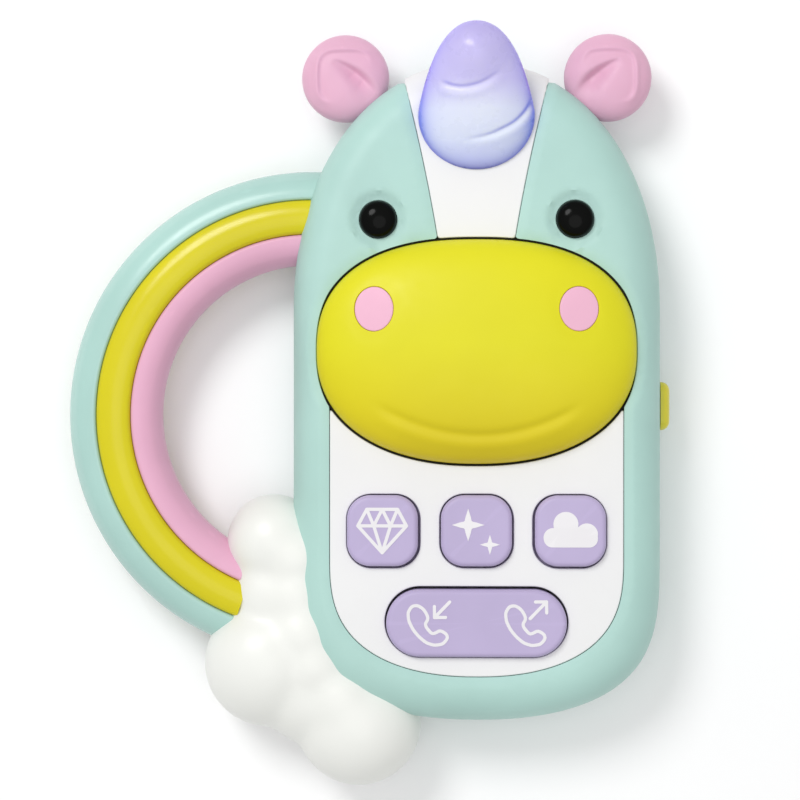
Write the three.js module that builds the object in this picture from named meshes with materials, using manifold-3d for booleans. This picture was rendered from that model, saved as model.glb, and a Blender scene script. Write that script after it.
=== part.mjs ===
// Toy cell phone for a baby: a unicorn-faced handset with a rainbow grip and a cloud foot.
// Millimetres. It lies on its back: +Z out of the face, +Y towards the horn, +X to the right of the face.
// The origin is the point of the flat back under the middle of the handset.
import * as THREE from "three";
import { mergeVertices } from "three/addons/utils/BufferGeometryUtils.js";
import Module from "manifold-3d";

const wasm = await Module();
wasm.setup();

// ---- driving dimensions ------------------------------------------------------------------
const GAP = 0.3; // clearance between neighbouring pieces
const WALL = 2.2; // moulded wall of the covers

// handset outline, seen from the front
const HALF_WIDTH = 45.4;
const HEAD = { centre: 20, height: 62.3, powerX: 2.06, powerY: 2.06 };
const CHIN = { centre: -36, height: 45.2, powerX: 2.24, powerY: 3.9 };
const OUTLINE_STEPS = 40;

// handset thickness
const SPLIT_Z = 14; // parting line of the two covers
const FACE_Z = 27; // flat of the front cover
const FACE_EDGE = 9; // rounding of the front edge
const BACK_EDGE = 7; // rounding of the back edge
const PLATE_DROP = 0.8; // how far the white face plate lies below the front cover

// openings of the front cover
const BLAZE = { y: 37.8, halfWidth: 9.5, widening: 0.205, top: 92 };
const PANEL = { halfWidth: 36, centre: -40, height: 29.3, powerX: 2.2, powerY: 3, top: 0 };

// snout button
const SNOUT = { y: 10, halfWidth: 39, halfHeight: 27.3, power: 2.35, skirt: 21.5, edge: 25.8, crown: 36 };
const SNOUT_GAP = 0.6;
const SNOUT_TRAVEL = 1.5;
const SNOUT_POST = { x: 18, radius: 1.6, top: 34, springRadius: 2.9, wire: 0.35 };
const NOSTRIL = { x: 24.6, y: 20.3, halfWidth: 4.7, halfHeight: 5.4 };

// keys
const KEY = { y: -33.9, pitch: 22.8, half: 8.6, corner: 5.6, bottom: 21.4, top: 28.3, flange: 1.1 };
const KEY_GAP = 0.5;
const CALL = {
  y: -56.2, halfLength: 21.9, halfHeight: 8.4, gap: 0.6,
  pinZ: 21.9, pinRadius: 1, pinReach: 10.9,
};
const CALL_DOME_X = 14; // the two domes under the ends of the call key
const MEMBRANE = { bottom: 18.4, top: 19.4 };

// horn, eyes and ears
const HORN = { y: 67.8, radius: 14.3, tipY: 81.9, tipRadius: 8, tipZ: 36.4, bottom: 15, stem: 7.5 };
const EYE = { x: 24.1, y: 42.4, radius: 4.5, recess: 1.3, dome: 2.1 };
const EAR = { x: 32.9, y: 78.3, radius: 10.9, halfDepth: 5.6, neck: 3, flange: 4.6, overhang: 9.2 };

// rainbow grip: three arcs about one centre
const GRIP = { x: -41.2, y: -5.6, halfDepth: 7.8, from: 84, power: 2.8 };
const BANDS = [
  { name: "grip_outer_band", colour: "mint", inner: 53.6, outer: 61.0, to: 252 },
  { name: "grip_middle_band", colour: "yellow", inner: 45.0, outer: 53.3, to: 250 },
  { name: "grip_inner_band", colour: "pink", inner: 37.2, outer: 44.7, to: 247 },
];

// cloud foot: three lobes and the necks between them, flattened front to back
const LOBES = [
  { x: -51.1, y: -36.9, radius: 10.9 },
  { x: -51.3, y: -50.5, radius: 10 },
  { x: -52.1, y: -67.6, radius: 15.8 },
  { x: -41, y: -75.2, radius: 13.2 },
  { x: -29.4, y: -82.6, radius: 15.6 },
];
const CLOUD = { flatten: 0.86, wall: 2 };

// inside
const BOARD = { bottom: 16.6, top: 18.1, inset: 4.6, low: -72, high: 38 };
const SPEAKER = { y: 28, radius: 14, back: 2.6 };
const BATTERY = { radius: 5.2, length: 44.5, spread: 5.6, y: -23, z: 8.3 };
const BAY = { halfX: 26.7, halfY: 11.4, wall: 1.4, top: 14.2 };
const DOOR = { halfX: 28.2, halfY: 12.6, low: 0.3, high: 2.3, lugY: 15, lugRadius: 4.6, tabX: 14 };
const SWITCH = { y: -3.4, travel: 2, capHalf: 6, capDepth: 2.6, proud: 3, stemHalf: 2.2, stemDepth: 1.4 };
const SCREWS = [[27, 57], [-27, 57], [40, -22], [-40, -22], [29, -67.5], [-29, -67.5]];
const SCREW = { head: 2.6, headHeight: 1.3, shank: 1.1, seat: 3, tip: 19.5, boss: 3.3 };
const DOOR_SCREW_TIP = 5.5;
const CHIP = { x: -13, y: 20, width: 10, length: 8, height: 1.7 };
const LAMP = { y: HORN.y - 3, boardLow: 17.4, boardTop: 18.6, radius: 2.5, top: 25.2 };

const COLOURS = {
  mint: 0xa5d4c8, white: 0xf0f0ee, yellow: 0xd9cd2c, pink: 0xe3b0cb, lilac: 0xb9abd3,
  horn: 0xc9c4f0, black: 0x101010, rubber: 0x9a9a9a, board: 0x2f6b45, metal: 0xb8bcc2, cell: 0x3c4a63,
};
const FINISH = {
  mint: [0.35, 0], white: [0.35, 0], yellow: [0.3, 0], pink: [0.4, 0], lilac: [0.4, 0], horn: [0.3, 0],
  black: [0.15, 0], rubber: [0.8, 0], board: [0.5, 0], metal: [0.3, 1], cell: [0.4, 0],
};

// ---- solids --------------------------------------------------------------------------------
function solid(geometry) {
  const bare = geometry.clone();
  bare.deleteAttribute("normal");
  bare.deleteAttribute("uv");
  const merged = mergeVertices(bare, 1e-4);
  return new wasm.Manifold(
    new wasm.Mesh({
      numProp: 3,
      vertProperties: new Float32Array(merged.attributes.position.array),
      triVerts: new Uint32Array(merged.index.array),
    }),
  );
}

function geometryOf(manifold) {
  const mesh = manifold.getMesh();
  const geometry = new THREE.BufferGeometry();
  geometry.setAttribute("position", new THREE.BufferAttribute(Float32Array.from(mesh.vertProperties), 3));
  geometry.setIndex(new THREE.BufferAttribute(Uint32Array.from(mesh.triVerts), 1));
  geometry.computeVertexNormals();
  return geometry;
}

// Closed solid through rings of equal count, the first lowest, each ring anticlockwise seen from +Z.
function stack(rings) {
  const count = rings[0].length;
  const points = rings.flat();
  const middle = (ring) => ring.reduce((sum, p) => sum.add(p), new THREE.Vector3()).divideScalar(count);
  points.push(middle(rings[0]), middle(rings[rings.length - 1]));
  const faces = [];
  for (let k = 0; k + 1 < rings.length; k++)
    for (let i = 0; i < count; i++) {
      const j = (i + 1) % count;
      const a = k * count;
      const b = a + count;
      faces.push(a + i, a + j, b + j, a + i, b + j, b + i);
    }
  const last = (rings.length - 1) * count;
  for (let i = 0; i < count; i++) {
    const j = (i + 1) % count;
    faces.push(points.length - 2, j, i, points.length - 1, last + i, last + j);
  }
  const geometry = new THREE.BufferGeometry().setFromPoints(points);
  geometry.setIndex(faces);
  return solid(geometry);
}

function box(x0, x1, y0, y1, z0, z1) {
  const geometry = new THREE.BoxGeometry(x1 - x0, y1 - y0, z1 - z0);
  return solid(geometry.translate((x0 + x1) / 2, (y0 + y1) / 2, (z0 + z1) / 2));
}

// Cylinder along +Z, or a cone when the top radius differs.
function rod(x, y, z0, z1, radius, sides = 12, topRadius = radius) {
  const geometry = new THREE.CylinderGeometry(topRadius, radius, z1 - z0, sides);
  return solid(geometry.rotateX(Math.PI / 2).translate(x, y, (z0 + z1) / 2));
}

// Cylinder between two points.
function bar(start, end, radius, sides = 12) {
  const length = start.distanceTo(end);
  const geometry = new THREE.CylinderGeometry(radius, radius, length, sides);
  const turn = new THREE.Quaternion().setFromUnitVectors(
    new THREE.Vector3(0, 1, 0),
    end.clone().sub(start).normalize(),
  );
  const middle = start.clone().add(end).divideScalar(2);
  return solid(geometry.applyQuaternion(turn).translate(middle.x, middle.y, middle.z));
}

// Solid of revolution about +Z at x, y. The profile lists [radius, z] from the axis round to the axis.
function turned(x, y, profile, sides = 20) {
  const points = profile.map(([r, z]) => new THREE.Vector2(r, z));
  const geometry = new THREE.LatheGeometry(points, sides).rotateX(Math.PI / 2);
  return solid(geometry.translate(x, y, 0));
}

// ---- flat outlines -------------------------------------------------------------------------
const power = (value, exponent) => Math.sign(value) * Math.abs(value) ** exponent;

// Evenly spaced points of a closed outline, with outward normals.
function evenly(points, count) {
  const curve = new THREE.CatmullRomCurve3(points.map(([x, y]) => new THREE.Vector3(x, y, 0)), true);
  curve.arcLengthDivisions = 1200;
  const spaced = curve.getSpacedPoints(count).slice(0, count);
  return spaced.map((p, i) => {
    const before = spaced[(i + count - 1) % count];
    const after = spaced[(i + 1) % count];
    const along = after.clone().sub(before).normalize();
    return { p, n: new THREE.Vector3(along.y, -along.x, 0) };
  });
}

// Half of a superellipse, from angle a0 to a1, about (0, centre).
function arch(halfWidth, part, a0, a1, steps = 60) {
  return Array.from({ length: steps + 1 }, (_, i) => {
    const a = a0 + ((a1 - a0) * i) / steps;
    return [
      halfWidth * power(Math.cos(a), 2 / part.powerX),
      part.centre + part.height * power(Math.sin(a), 2 / part.powerY),
    ];
  });
}

const handset = evenly(
  [...arch(HALF_WIDTH, HEAD, 0, Math.PI), ...arch(HALF_WIDTH, CHIN, Math.PI, 2 * Math.PI)],
  OUTLINE_STEPS,
);

const ring = (outline, inset, z) =>
  outline.map(({ p, n }) => new THREE.Vector3(p.x - n.x * inset, p.y - n.y * inset, z));

function superellipse(x, y, halfWidth, halfHeight, exponent, count = 32) {
  return Array.from({ length: count }, (_, i) => {
    const a = (2 * Math.PI * (i + 0.5)) / count;
    return new THREE.Vector3(
      x + halfWidth * power(Math.cos(a), 2 / exponent),
      y + halfHeight * power(Math.sin(a), 2 / exponent),
      0,
    );
  });
}

function roundedRect(x, y, halfX, halfY, corner, perCorner = 5) {
  const points = [];
  for (const [sx, sy, start] of [[1, 1, 0], [-1, 1, 1], [-1, -1, 2], [1, -1, 3]])
    for (let i = 0; i <= perCorner; i++) {
      const a = ((start + i / perCorner) * Math.PI) / 2;
      points.push(
        new THREE.Vector3(
          x + sx * (halfX - corner) + corner * Math.cos(a),
          y + sy * (halfY - corner) + corner * Math.sin(a),
          0,
        ),
      );
    }
  return points;
}

const lift = (points, z) => points.map((p) => new THREE.Vector3(p.x, p.y, z));
const prism = (points, z0, z1) => stack([lift(points, z0), lift(points, z1)]);

// ---- handset body --------------------------------------------------------------------------
// Front half of the handset, shrunk inwards by inset (negative grows it).
function frontHalf(inset, low, steps = 4) {
  const rings = [ring(handset, inset, low)];
  for (let i = 0; i <= steps; i++) {
    const a = ((Math.PI / 2) * i) / steps;
    const radius = FACE_EDGE - inset;
    rings.push(ring(handset, FACE_EDGE - radius * Math.cos(a), FACE_Z - FACE_EDGE + radius * Math.sin(a)));
  }
  return stack(rings);
}

function backHalf(inset, high, steps = 3) {
  const rings = [ring(handset, inset, high)];
  for (let i = 0; i <= steps; i++) {
    const a = ((Math.PI / 2) * i) / steps;
    const radius = BACK_EDGE - inset;
    rings.unshift(ring(handset, BACK_EDGE - radius * Math.cos(a), BACK_EDGE - radius * Math.sin(a)));
  }
  return stack(rings);
}

const grownHandset = frontHalf(-GAP, SPLIT_Z).add(backHalf(-GAP, SPLIT_Z + 0.01));

// Opening of the front cover in plan: blaze, snout and keypad panel, each grown by the same amount.
function openingPrism(grow, low, high) {
  const blazeHalf = (y) => BLAZE.halfWidth + BLAZE.widening * (y - BLAZE.y) + grow;
  const foot = SNOUT.y + 10;
  const blaze = [
    [blazeHalf(BLAZE.top), BLAZE.top],
    [-blazeHalf(BLAZE.top), BLAZE.top],
    [-blazeHalf(foot), foot],
    [blazeHalf(foot), foot],
  ].map(([x, y]) => new THREE.Vector3(x, y, 0));
  const bottom = { ...PANEL, height: PANEL.height + grow };
  const panel = [
    ...arch(PANEL.halfWidth + grow, bottom, Math.PI, 2 * Math.PI, 20),
    [PANEL.halfWidth + grow, PANEL.top],
    [-PANEL.halfWidth - grow, PANEL.top],
  ].map(([x, y]) => new THREE.Vector3(x, y, 0));
  return prism(blaze, low, high).add(prism(panel, low, high)).add(snoutPrism(grow, low, high));
}

function snoutPrism(grow, low, high) {
  const outline = superellipse(0, SNOUT.y, SNOUT.halfWidth + grow, SNOUT.halfHeight + grow, SNOUT.power);
  return prism(outline, low, high);
}

const snoutHole = snoutPrism(SNOUT_GAP, 10, 50);
const earAxis = (side) => {
  const tip = new THREE.Vector3(side * EAR.x, EAR.y, SPLIT_Z);
  const inward = new THREE.Vector3(-side, -1, 0).normalize();
  return { tip, at: (distance) => tip.clone().addScaledVector(inward, distance) };
};

// ---- grip and cloud ------------------------------------------------------------------------
// An arc of the grip: a rounded-box section swept about the grip's centre.
function bandSolid({ inner, outer, to }, grow = 0, extra = 0) {
  const half = (outer - inner) / 2 + grow;
  const depth = GRIP.halfDepth + grow;
  const middle = (outer + inner) / 2;
  const sides = 8;
  const steps = 18;
  const rings = [];
  for (let k = 0; k <= steps; k++) {
    const a = THREE.MathUtils.degToRad(GRIP.from - extra + ((to - GRIP.from + 2 * extra) * k) / steps);
    rings.push(
      Array.from({ length: sides }, (_, i) => {
        const t = (2 * Math.PI * (i + 0.5)) / sides;
        const reach = middle + half * power(Math.cos(t), 2 / GRIP.power);
        const z = SPLIT_Z + depth * power(Math.sin(t), 2 / GRIP.power);
        return new THREE.Vector3(GRIP.x + reach * Math.cos(a), GRIP.y + reach * Math.sin(a), z);
      }),
    );
  }
  return stack(rings.reverse());
}

function cloudSolid(inset, sides) {
  return LOBES.map(({ x, y, radius }) => {
    const lobe = new THREE.SphereGeometry(radius - inset, sides, sides / 2).rotateX(Math.PI / 2);
    lobe.scale(1, 1, (radius * CLOUD.flatten - inset) / (radius - inset)).translate(x, y, SPLIT_Z);
    return solid(lobe);
  }).reduce((a, b) => a.add(b));
}

const gripSockets = BANDS.map((band) => bandSolid(band, GAP, 0.6)).reduce((a, b) => a.add(b));

function cloudHalf(side) {
  const shell = cloudSolid(0, 16).subtract(cloudSolid(CLOUD.wall, 10));
  const entry = bandSolid({ ...BANDS[2], inner: BANDS[2].inner - 1.8 }, GAP, 0.6);
  const half = side > 0
    ? box(-120, 20, -120, 20, SPLIT_Z + GAP / 2, 60)
    : box(-120, 20, -120, 20, -30, SPLIT_Z - GAP / 2);
  return shell.intersect(half).subtract(grownHandset).subtract(gripSockets).subtract(entry);
}

// ---- covers --------------------------------------------------------------------------------
function switchSlot() {
  const halfY = SWITCH.stemHalf + SWITCH.travel + 2 * GAP;
  const halfZ = SWITCH.stemDepth + GAP;
  return box(40, 50, SWITCH.y - halfY, SWITCH.y + halfY, SPLIT_Z - halfZ, SPLIT_Z + halfZ);
}

function cutWallFeatures(cover) {
  let cut = cover.subtract(gripSockets).subtract(switchSlot());
  for (const side of [1, -1]) {
    const axis = earAxis(side);
    cut = cut.subtract(bar(axis.at(0), axis.at(16), EAR.neck + GAP, 12));
  }
  return cut;
}

function frontCover() {
  let cover = frontHalf(0, SPLIT_Z + GAP / 2).subtract(frontHalf(WALL, SPLIT_Z - 1));
  for (const [x, y] of SCREWS) {
    const high = Math.abs(x) > 35 ? 22.8 : FACE_Z - WALL + 0.2;
    cover = cover.add(rod(x, y, SPLIT_Z + GAP / 2, high, SCREW.boss));
  }
  cover = cover.intersect(frontHalf(0, SPLIT_Z));
  for (const [x, y] of SCREWS)
    cover = cover.subtract(rod(x, y, SPLIT_Z - 1, SCREW.tip + 1, SCREW.shank + GAP, 8));
  cover = cover.subtract(openingPrism(0, 10, 50)).subtract(snoutHole);
  for (const side of [1, -1])
    cover = cover
      .subtract(rod(side * EYE.x, EYE.y, 10, 50, 2.3, 12))
      .subtract(rod(side * EYE.x, EYE.y, FACE_Z - EYE.recess, 50, EYE.radius + GAP));
  return cutWallFeatures(cover);
}

function speakerHoles() {
  const holes = [[0, 0]];
  for (const [count, radius] of [[5, 3.8], [10, 7.8]])
    for (let i = 0; i < count; i++) {
      const a = (2 * Math.PI * i) / count;
      holes.push([radius * Math.cos(a), radius * Math.sin(a)]);
    }
  return holes.map(([x, y]) => rod(x, SPEAKER.y + y, -1, 4, 1, 6)).reduce((a, b) => a.add(b));
}

function backCover() {
  let cover = backHalf(0, SPLIT_Z - GAP / 2).subtract(backHalf(WALL, SPLIT_Z + 1));
  const { y } = BATTERY;
  const outX = BAY.halfX + BAY.wall;
  const outY = BAY.halfY + BAY.wall;
  cover = cover.add(box(-outX, outX, y - outY, y + outY, 0.5, BAY.top + BAY.wall));
  cover = cover.add(rod(0, y + DOOR.lugY, 0.5, 7.5, 4));
  cover = cover.add(rod(0, SPEAKER.y, 1, 7, SPEAKER.radius + 1.6, 24));
  cover = cover.subtract(rod(0, SPEAKER.y, WALL, 8, SPEAKER.radius + GAP, 24));
  for (const [x, sy] of SCREWS) cover = cover.add(rod(x, sy, 0.5, SPLIT_Z - GAP / 2, SCREW.boss + 0.7));
  cover = cover.intersect(backHalf(0, 30));
  for (const [x, sy] of SCREWS)
    cover = cover
      .subtract(rod(x, sy, -1, 20, SCREW.shank + GAP, 8))
      .subtract(rod(x, sy, -1, SCREW.seat, SCREW.head + GAP));
  const seat = DOOR.high + 0.15;
  cover = cover
    .subtract(box(-BAY.halfX, BAY.halfX, y - BAY.halfY, y + BAY.halfY, -1, BAY.top))
    .subtract(prism(roundedRect(0, y, DOOR.halfX + GAP, DOOR.halfY + GAP, 2.3, 3), -1, seat))
    .subtract(rod(0, y + DOOR.lugY, -1, seat, DOOR.lugRadius + GAP, 20))
    .subtract(rod(0, y + DOOR.lugY, -1, 30, SCREW.shank + 2 * GAP, 12))
    .subtract(speakerHoles());
  const edge = y - DOOR.halfY;
  for (const x of [-DOOR.tabX, DOOR.tabX])
    cover = cover.subtract(box(x - 3.4, x + 3.4, edge - 2.1, edge + 2, WALL, DOOR.high + 2.6));
  return cutWallFeatures(cover);
}

// ---- face plate ----------------------------------------------------------------------------
function keyHole(x) {
  const half = KEY.half + KEY_GAP;
  return prism(roundedRect(x, KEY.y, half, half, KEY.corner + KEY_GAP, 4), 10, 50);
}

function facePlate() {
  const inlay = frontHalf(PLATE_DROP, SPLIT_Z + GAP / 2)
    .subtract(frontHalf(3, SPLIT_Z - 1))
    .intersect(openingPrism(-GAP, 10, 50));
  const flange = frontHalf(WALL + GAP, SPLIT_Z + GAP / 2)
    .subtract(frontHalf(WALL + GAP + 1.4, SPLIT_Z - 1))
    .intersect(openingPrism(1.6, 10, 50));
  let plate = inlay.add(flange);
  for (const side of [1, -1]) {
    const y0 = CALL.y + side * 10.1;
    plate = plate.add(box(-2.6, 2.6, y0 - 0.8, y0 + 0.8, 20.2, 24));
  }
  plate = plate
    .subtract(bar(pinEnd(-1, 0.4), pinEnd(1, 0.4), CALL.pinRadius + GAP + 0.1))
    .subtract(box(-0.9, 0.9, CALL.y - 11.3, CALL.y + 11.3, 18, CALL.pinZ));
  const callHole = roundedRect(
    0, CALL.y, CALL.halfLength + CALL.gap, CALL.halfHeight + CALL.gap, CALL.halfHeight, 6);
  plate = plate.subtract(prism(callHole, 10, 50)).subtract(snoutHole);
  for (const step of [-1, 0, 1]) plate = plate.subtract(keyHole(step * KEY.pitch));
  plate = plate.subtract(rod(0, LAMP.y, 10, 50, HORN.stem + GAP, 20));
  return cutBosses(plate);
}

// Keeps a piece clear of the screw bosses of the covers.
function cutBosses(piece) {
  const radius = SCREW.boss + 0.7 + GAP;
  return SCREWS.reduce((left, [x, y]) => left.subtract(rod(x, y, 0, 24.9, radius, 16)), piece);
}

const pinEnd = (side, extra = 0) => new THREE.Vector3(0, CALL.y + side * (CALL.pinReach + extra), CALL.pinZ);

// ---- snout ---------------------------------------------------------------------------------
function snoutDome(shrink, low, steps = 5) {
  const outline = (scale, z) =>
    lift(
      superellipse(
        0,
        SNOUT.y,
        (SNOUT.halfWidth - shrink) * scale,
        (SNOUT.halfHeight - shrink) * scale,
        SNOUT.power,
      ),
      z,
    );
  const rings = [outline(1, low), outline(1, SNOUT.edge)];
  const rise = SNOUT.crown - SNOUT.edge - shrink;
  for (let i = 1; i <= steps; i++) {
    const a = ((Math.PI / 2) * i) / (steps + 0.6);
    const scale = Math.cos(a) ** (2 / 2.6);
    rings.push(outline(scale, SNOUT.edge + rise * Math.sin(a)));
  }
  return stack(rings);
}

function nostrilPrism(side, grow) {
  const outline = superellipse(
    side * NOSTRIL.x, NOSTRIL.y, NOSTRIL.halfWidth + grow, NOSTRIL.halfHeight + grow, 2, 14);
  return prism(outline, 20, 50);
}

function snoutButton() {
  let button = snoutDome(0, SNOUT.skirt).subtract(snoutDome(2, SNOUT.skirt - 1));
  button = button.add(rod(0, SNOUT.y, SNOUT.skirt, SNOUT.crown - 1.5, 2.6, 10));
  for (const side of [1, -1]) {
    const post = rod(side * SNOUT_POST.x, SNOUT.y, SNOUT.skirt + 3, SNOUT_POST.top, SNOUT_POST.radius, 8);
    button = button.add(post).subtract(nostrilPrism(side, 0));
  }
  return button;
}

function nostril(side) {
  return nostrilPrism(side, -GAP).intersect(snoutDome(-0.2, SNOUT.skirt)).subtract(snoutDome(2.4, 10));
}

function snoutSeal() {
  const outer = superellipse(0, SNOUT.y, SNOUT.halfWidth + 1.7, SNOUT.halfHeight + 1.7, SNOUT.power);
  const inner = superellipse(0, SNOUT.y, SNOUT.halfWidth + 0.35, SNOUT.halfHeight + 0.35, SNOUT.power);
  const band = prism(outer, SNOUT.skirt - 1.2, SNOUT.skirt + 0.9).subtract(prism(inner, 10, 50));
  return band.intersect(frontHalf(WALL + 2 * GAP + 1.4, SPLIT_Z));
}

// ---- keys ----------------------------------------------------------------------------------
function squareKey(x) {
  const at = (inset, z) =>
    lift(roundedRect(x, KEY.y, KEY.half - inset, KEY.half - inset, KEY.corner - inset, 4), z);
  return stack([
    at(-KEY.flange, KEY.bottom),
    at(-KEY.flange, KEY.bottom + 1.2),
    at(0, KEY.bottom + 1.2),
    at(0, KEY.top - 1),
    at(0.5, KEY.top - 0.25),
    at(1.6, KEY.top),
  ]);
}

function callKey() {
  const at = (inset, z) => {
    const end = CALL.halfHeight - inset;
    return lift(roundedRect(0, CALL.y, CALL.halfLength - inset, end, end, 6), z);
  };
  const pill = stack([at(0, KEY.bottom), at(0, KEY.top - 1), at(0.5, KEY.top - 0.25), at(1.8, KEY.top)]);
  return pill.add(bar(pinEnd(-1), pinEnd(1), CALL.pinRadius, 10));
}

const dome = (x, y) => rod(x, y, MEMBRANE.top + GAP, KEY.bottom - GAP, 3, 12, 2);

// ---- horn, eyes, ears ----------------------------------------------------------------------
// A leaning cone with a bulging foot and a round tip.
function horn() {
  const circle = (y, radius, z) => lift(superellipse(0, y, radius, radius, 2, 18), z);
  const steps = 5;
  const rings = [circle(HORN.y, HORN.radius, HORN.bottom)];
  for (let k = 0; k < steps; k++) {
    const t = k / steps;
    const radius = HORN.radius + (HORN.tipRadius - HORN.radius) * t;
    rings.push(circle(HORN.y + (HORN.tipY - HORN.y) * t, radius, 24 + (HORN.tipZ - 24) * t ** 0.45));
  }
  for (let k = 0; k < 4; k++) {
    const a = (k * Math.PI) / 9;
    rings.push(circle(HORN.tipY, HORN.tipRadius * Math.cos(a), HORN.tipZ + 5.4 * Math.sin(a)));
  }
  return stack(rings)
    .subtract(grownHandset)
    .add(rod(0, LAMP.y, 21, 28.5, HORN.stem, 18))
    .subtract(rod(0, LAMP.y, 20, 28.5, HORN.stem - 2, 14));
}

function eye(side) {
  const low = FACE_Z - EYE.recess + GAP;
  const rim = FACE_Z - 0.1;
  return turned(side * EYE.x, EYE.y, [
    [0, 20.5], [2, 20.5], [2, low], [EYE.radius, low], [EYE.radius, rim],
    [EYE.radius * 0.9, rim + EYE.dome * 0.5], [EYE.radius * 0.55, rim + EYE.dome * 0.88], [0, rim + EYE.dome],
  ], 16);
}

function ear(side) {
  const axis = earAxis(side);
  const ball = new THREE.SphereGeometry(1, 16, 8).rotateX(Math.PI / 2);
  ball.scale(EAR.radius, EAR.radius, EAR.halfDepth).translate(axis.tip.x, axis.tip.y, SPLIT_Z);
  const wallInside = EAR.overhang + WALL; // along the neck, from the ear to the inside of the cover
  return solid(ball)
    .subtract(grownHandset)
    .add(bar(axis.at(5), axis.at(wallInside + 2.4), EAR.neck, 10))
    .add(bar(axis.at(wallInside + 1.4), axis.at(wallInside + 3), EAR.flange, 12));
}

// ---- electronics ---------------------------------------------------------------------------
// A coil spring standing on z0 at x, y.
class Helix extends THREE.Curve {
  constructor(x, y, z0, z1, radius, turns) {
    super();
    Object.assign(this, { x, y, z0, z1, radius, turns });
  }
  getPoint(t, target = new THREE.Vector3()) {
    const a = 2 * Math.PI * this.turns * t;
    const z = this.z0 + (this.z1 - this.z0) * t;
    return target.set(this.x + this.radius * Math.cos(a), this.y + this.radius * Math.sin(a), z);
  }
}

function wireSolid(curve, radius, steps) {
  const section = new THREE.Shape();
  section.absarc(0, 0, radius, 0, 2 * Math.PI);
  const geometry = new THREE.ExtrudeGeometry(section, {
    steps,
    extrudePath: curve,
    bevelEnabled: false,
    curveSegments: 3,
  });
  const made = solid(geometry);
  return made.volume() < 0 ? solid(turnedInsideOut(geometry)) : made;
}

function turnedInsideOut(geometry) {
  const flat = geometry.index ? geometry.toNonIndexed() : geometry.clone();
  const position = flat.attributes.position;
  const a = new THREE.Vector3();
  const b = new THREE.Vector3();
  for (let i = 0; i < position.count; i += 3) {
    a.fromBufferAttribute(position, i + 1);
    b.fromBufferAttribute(position, i + 2);
    position.setXYZ(i + 1, b.x, b.y, b.z);
    position.setXYZ(i + 2, a.x, a.y, a.z);
  }
  return flat;
}

const lead = (...points) =>
  wireSolid(new THREE.CatmullRomCurve3(points.map((p) => new THREE.Vector3(...p))), 0.5, 5);

function circuitBoard() {
  const slab = stack([ring(handset, BOARD.inset, BOARD.bottom), ring(handset, BOARD.inset, BOARD.top)]);
  return cutBosses(slab.intersect(box(-60, 60, BOARD.low, BOARD.high, 0, 60))).subtract(gripSockets);
}

function speakerDriver() {
  const { back, radius, y } = SPEAKER;
  return turned(0, y, [
    [0, back + 4.6], [5, back + 4.6], [8, back + 2.2], [radius - 1.6, back + 1.2], [radius - 1.6, back],
    [radius, back], [radius, back + 1.6], [9, back + 3.4], [6.5, back + 5.4], [6.5, back + 8], [0, back + 8],
  ], 24);
}

function speakerCone() {
  const { back, radius, y } = SPEAKER;
  const rim = radius - 2.2;
  return turned(0, y, [
    [0, back + 3], [4, back + 2.8], [8, back + 1.4], [rim, back + 0.2],
    [rim, back + 0.7], [8, back + 1.85], [4, back + 3.3], [0, back + 3.5],
  ], 20);
}

function keypadMembrane() {
  const sheet = roundedRect(0, (KEY.y + CALL.y) / 2, 33, 21, 9, 4);
  return cutBosses(prism(sheet, MEMBRANE.bottom, MEMBRANE.top));
}

// ---- batteries and door --------------------------------------------------------------------
// Two tabs on the far edge of the door reach under the cover and act as its hinge.
function batteryDoor() {
  const { y } = BATTERY;
  const edge = y - DOOR.halfY;
  const tab = (x) =>
    box(x - 3, x + 3, edge - 1.6, edge + 2, DOOR.high + 0.2, DOOR.high + 1.2).add(
      box(x - 3, x + 3, edge + 0.3, edge + 2, DOOR.high - 0.2, DOOR.high + 0.4),
    );
  return prism(roundedRect(0, y, DOOR.halfX, DOOR.halfY, 2, 3), DOOR.low, DOOR.high)
    .add(rod(0, y + DOOR.lugY, DOOR.low, DOOR.high, DOOR.lugRadius, 20))
    .add(tab(-DOOR.tabX))
    .add(tab(DOOR.tabX))
    .subtract(rod(0, y + DOOR.lugY, -1, 4, SCREW.shank + GAP, 12))
    .subtract(rod(0, y + DOOR.lugY, -1, DOOR.low + 1.2, SCREW.head + GAP, 16));
}

// Cross-head screw, driven from below: its head ends just under z = seat.
function screw(x, y, seat, tip) {
  const face = seat - GAP - SCREW.headHeight;
  const slot = face + SCREW.headHeight * 0.5;
  return turned(x, y, [
    [0, face], [SCREW.head * 0.7, face],
    [SCREW.head, face + SCREW.headHeight * 0.4], [SCREW.head, seat - GAP],
    [SCREW.shank, seat - GAP], [SCREW.shank, tip - 1], [0, tip],
  ], 8)
    .subtract(box(x - 1.6, x + 1.6, y - 0.35, y + 0.35, -5, slot))
    .subtract(box(x - 0.35, x + 0.35, y - 1.6, y + 1.6, -5, slot));
}

function battery(row) {
  const y = BATTERY.y + row * BATTERY.spread;
  const start = row * (BAY.halfX - 1.2 - BATTERY.length);
  const along = (distance) => new THREE.Vector3(start + row * distance, y, BATTERY.z);
  const tube = (from, to, radius) => bar(along(from), along(to), radius, 14);
  return tube(0, BATTERY.length - 0.9, BATTERY.radius).add(tube(1, BATTERY.length, 1.9));
}

// Contact plate at one end of the bay, in the plane X = x.
function contact(x, y0, y1) {
  return box(x - 0.25, x + 0.25, y0, y1, BATTERY.z - 4, BATTERY.z + 4);
}

function batterySpring(row) {
  const sign = -row;
  const coil = wireSolid(new Helix(0, 0, 0, 5.4, 2.6, 2.5), 0.35, 18);
  const y = BATTERY.y + row * BATTERY.spread;
  return coil.rotate([0, 90 * -sign, 0]).translate([sign * (BAY.halfX - 1.55), y, BATTERY.z]);
}

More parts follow.
